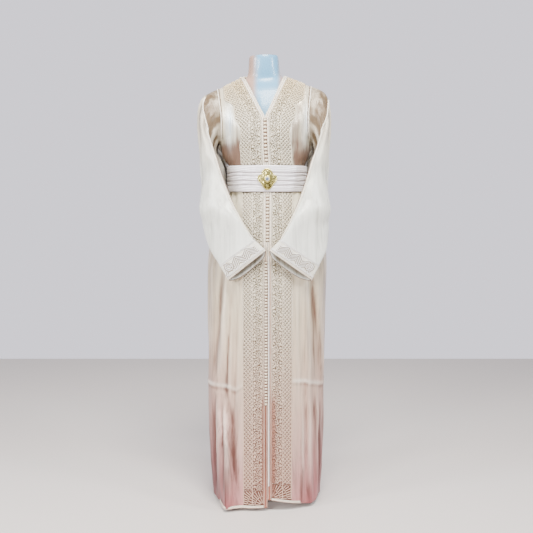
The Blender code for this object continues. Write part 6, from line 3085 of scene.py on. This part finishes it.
def smooth_copy(node: str, name: str, levels: int) -> Piece:
    """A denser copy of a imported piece, its crisp edges kept.

    Args:
        node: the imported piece.
        name: name of the copy.
        levels: how many times its faces are split.

    Returns:
        The copy, in the row frame.
    """
    source = bpy.data.objects[node]
    mesh = source.data.copy()
    mesh.transform(source.matrix_world)
    mesh.name = name
    made = linked(name, mesh)
    shape = bmesh.new()
    shape.from_mesh(mesh)
    bmesh.ops.remove_doubles(shape, verts=shape.verts, dist=1e-6)
    bmesh.ops.join_triangles(shape, faces=shape.faces, angle_face_threshold=0.9, angle_shape_threshold=2.0)
    crease = shape.edges.layers.float.get("crease_edge") or shape.edges.layers.float.new("crease_edge")
    for edge in shape.edges:
        if len(edge.link_faces) == 2 and edge.calc_face_angle(0.0) > 0.9:
            edge[crease] = 1.0
    shape.to_mesh(mesh)
    shape.free()
    modifier = made.modifiers.new("smooth", "SUBSURF")
    modifier.levels = modifier.render_levels = levels
    dense = evaluated(made)
    made.modifiers.clear()
    made.data = dense
    bpy.data.meshes.remove(mesh)
    dense.name = name
    dense.polygons.foreach_set("use_smooth", [True] * len(dense.polygons))
    mark_sharp(made, 42.0)
    return made


# Stage


@dataclass
class Stage:
    """Plain pale floor, a pale room and soft studio light."""

    finish: Finishes
    near_sky: float = 0.30
    far_sky: float = 1.60

    def floor(self) -> None:
        """Makes the floor, just under the base plate."""
        shade = Shade("pale_floor")
        shade.done(srgb(226, 218, 212), 0.5)
        size, back, low = 4.0, 2.56, -0.0005
        points = [(-size, -size, low), (size, -size, low), (size, back, low), (-size, back, low)]
        made = dress(make_object("floor", np.array(points), [(0, 1, 2, 3)]), shade.material)
        made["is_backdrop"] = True

    def world(self) -> None:
        """Sets a pale room round the gown."""
        world = bpy.data.worlds.new("room")
        bpy.context.scene.world = world
        world.use_nodes = True
        tree = world.node_tree
        sky = tree.nodes["Background"]
        sky.inputs["Color"].default_value = (*srgb(228, 225, 236), 1.0)
        place = tree.nodes.new("ShaderNodeTexCoord").outputs["Generated"]
        split = tree.nodes.new("ShaderNodeSeparateXYZ")
        tree.links.new(place, split.inputs[0])
        far = tree.nodes.new("ShaderNodeMapRange")
        far.interpolation_type = "SMOOTHSTEP"
        limits = {"From Min": 0.1, "From Max": 0.8, "To Min": self.near_sky, "To Max": self.far_sky}
        for key, value in limits.items():
            far.inputs[key].default_value = value
        tree.links.new(split.outputs["Y"], far.inputs["Value"])
        tree.links.new(far.outputs["Result"], sky.inputs["Strength"])

    def light(self, name: str, place: tuple, target: tuple, size: float, power: float,
              colour: Colour) -> None:
        """One square area light aimed at a place.

        Args:
            name: name of the light.
            place: where it hangs.
            target: what it is aimed at.
            size: its side in metres.
            power: its power in watts.
            colour: its linear colour.
        """
        lamp = bpy.data.lights.new(name, "AREA")
        lamp.size, lamp.energy, lamp.color = size, power, colour
        made = linked(name, lamp)
        made.location = place
        made.rotation_euler = (Vector(target) - Vector(place)).to_track_quat("-Z", "Y").to_euler()
        made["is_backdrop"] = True

    def camera(self) -> None:
        """Sets the camera that fits the picture."""
        lens = bpy.data.cameras.new("view")
        lens.sensor_width, lens.lens = CAMERA_SENSOR, CAMERA_LENS
        made = linked("view", lens)
        made.location = CAMERA_PLACE
        made.rotation_euler = (CAMERA_TILT, 0.0, 0.0)
        bpy.context.scene.camera = made

    def build(self) -> None:
        """Makes the whole stage."""
        self.floor()
        self.world()
        self.camera()
        self.light("overhead", (0.2, -1.3, 3.0), (0.0, 0.0, 1.1), 0.9, 150.0, (1.0, 0.97, 0.92))
        self.light("front_fill", (-1.9, -2.9, 1.8), (0.0, 0.0, 0.7), 0.8, 92.0, (1.0, 0.97, 0.94))
        self.light("right_strip", (1.9, -1.2, 1.9), (0.0, 0.0, 0.8), 0.5, 40.0, (0.93, 0.96, 1.0))
        self.light("left_strip", (-1.9, -1.1, 1.9), (0.0, 0.0, 0.8), 0.5, 40.0, (0.93, 0.96, 1.0))
        # stands for the light that a pale floor throws back under the hem
        self.light("under_hem", (0.06, -0.05, 0.36), (0.06, -0.06, 0.0), 0.10, 0.45, (1.0, 0.96, 0.94))


def corners(box: tuple[Vector, Vector]) -> list[list[float]]:
    """A box's two corners as plain lists of numbers."""
    return [[float(value) for value in corner] for corner in box]


def main() -> None:
    """Builds the dressed gown on its form, piece by piece."""
    logging.basicConfig(level=logging.INFO, format="%(name)s: %(message)s")
    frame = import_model()
    packed_box = corners(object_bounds())
    LOG.info("%d packed pieces", len(frame["nodes"]))
    cut = GownCut()
    finish = Finishes()
    stage = Stage(finish)
    stage.build()
    DressForm(finish).build()
    body = GownBody(cut, finish)
    panels = {side: body.build_front(side) for side in Side}
    back = body.build_back()
    for side in Side:
        Sleeve(cut, finish, side).build()
        sewn_on = Embroidery(cut, finish, side, panels[side]).build()
        body.declare(f"front_{side.label}", (0.36, 1.52), sewn_on)
    body.declare("back", (0.66, 1.50), [body.neck_trim(back)])
    FrontClosing(finish, panels[Side.RIGHT], panels[Side.LEFT]).build()
    belt = Belt(cut, finish)
    belt.build()
    Buckle(cut, finish, belt.front).build()
    {"cad": packed_box, "visual": corners(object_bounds())}


if __name__ == "__main__":
    main()
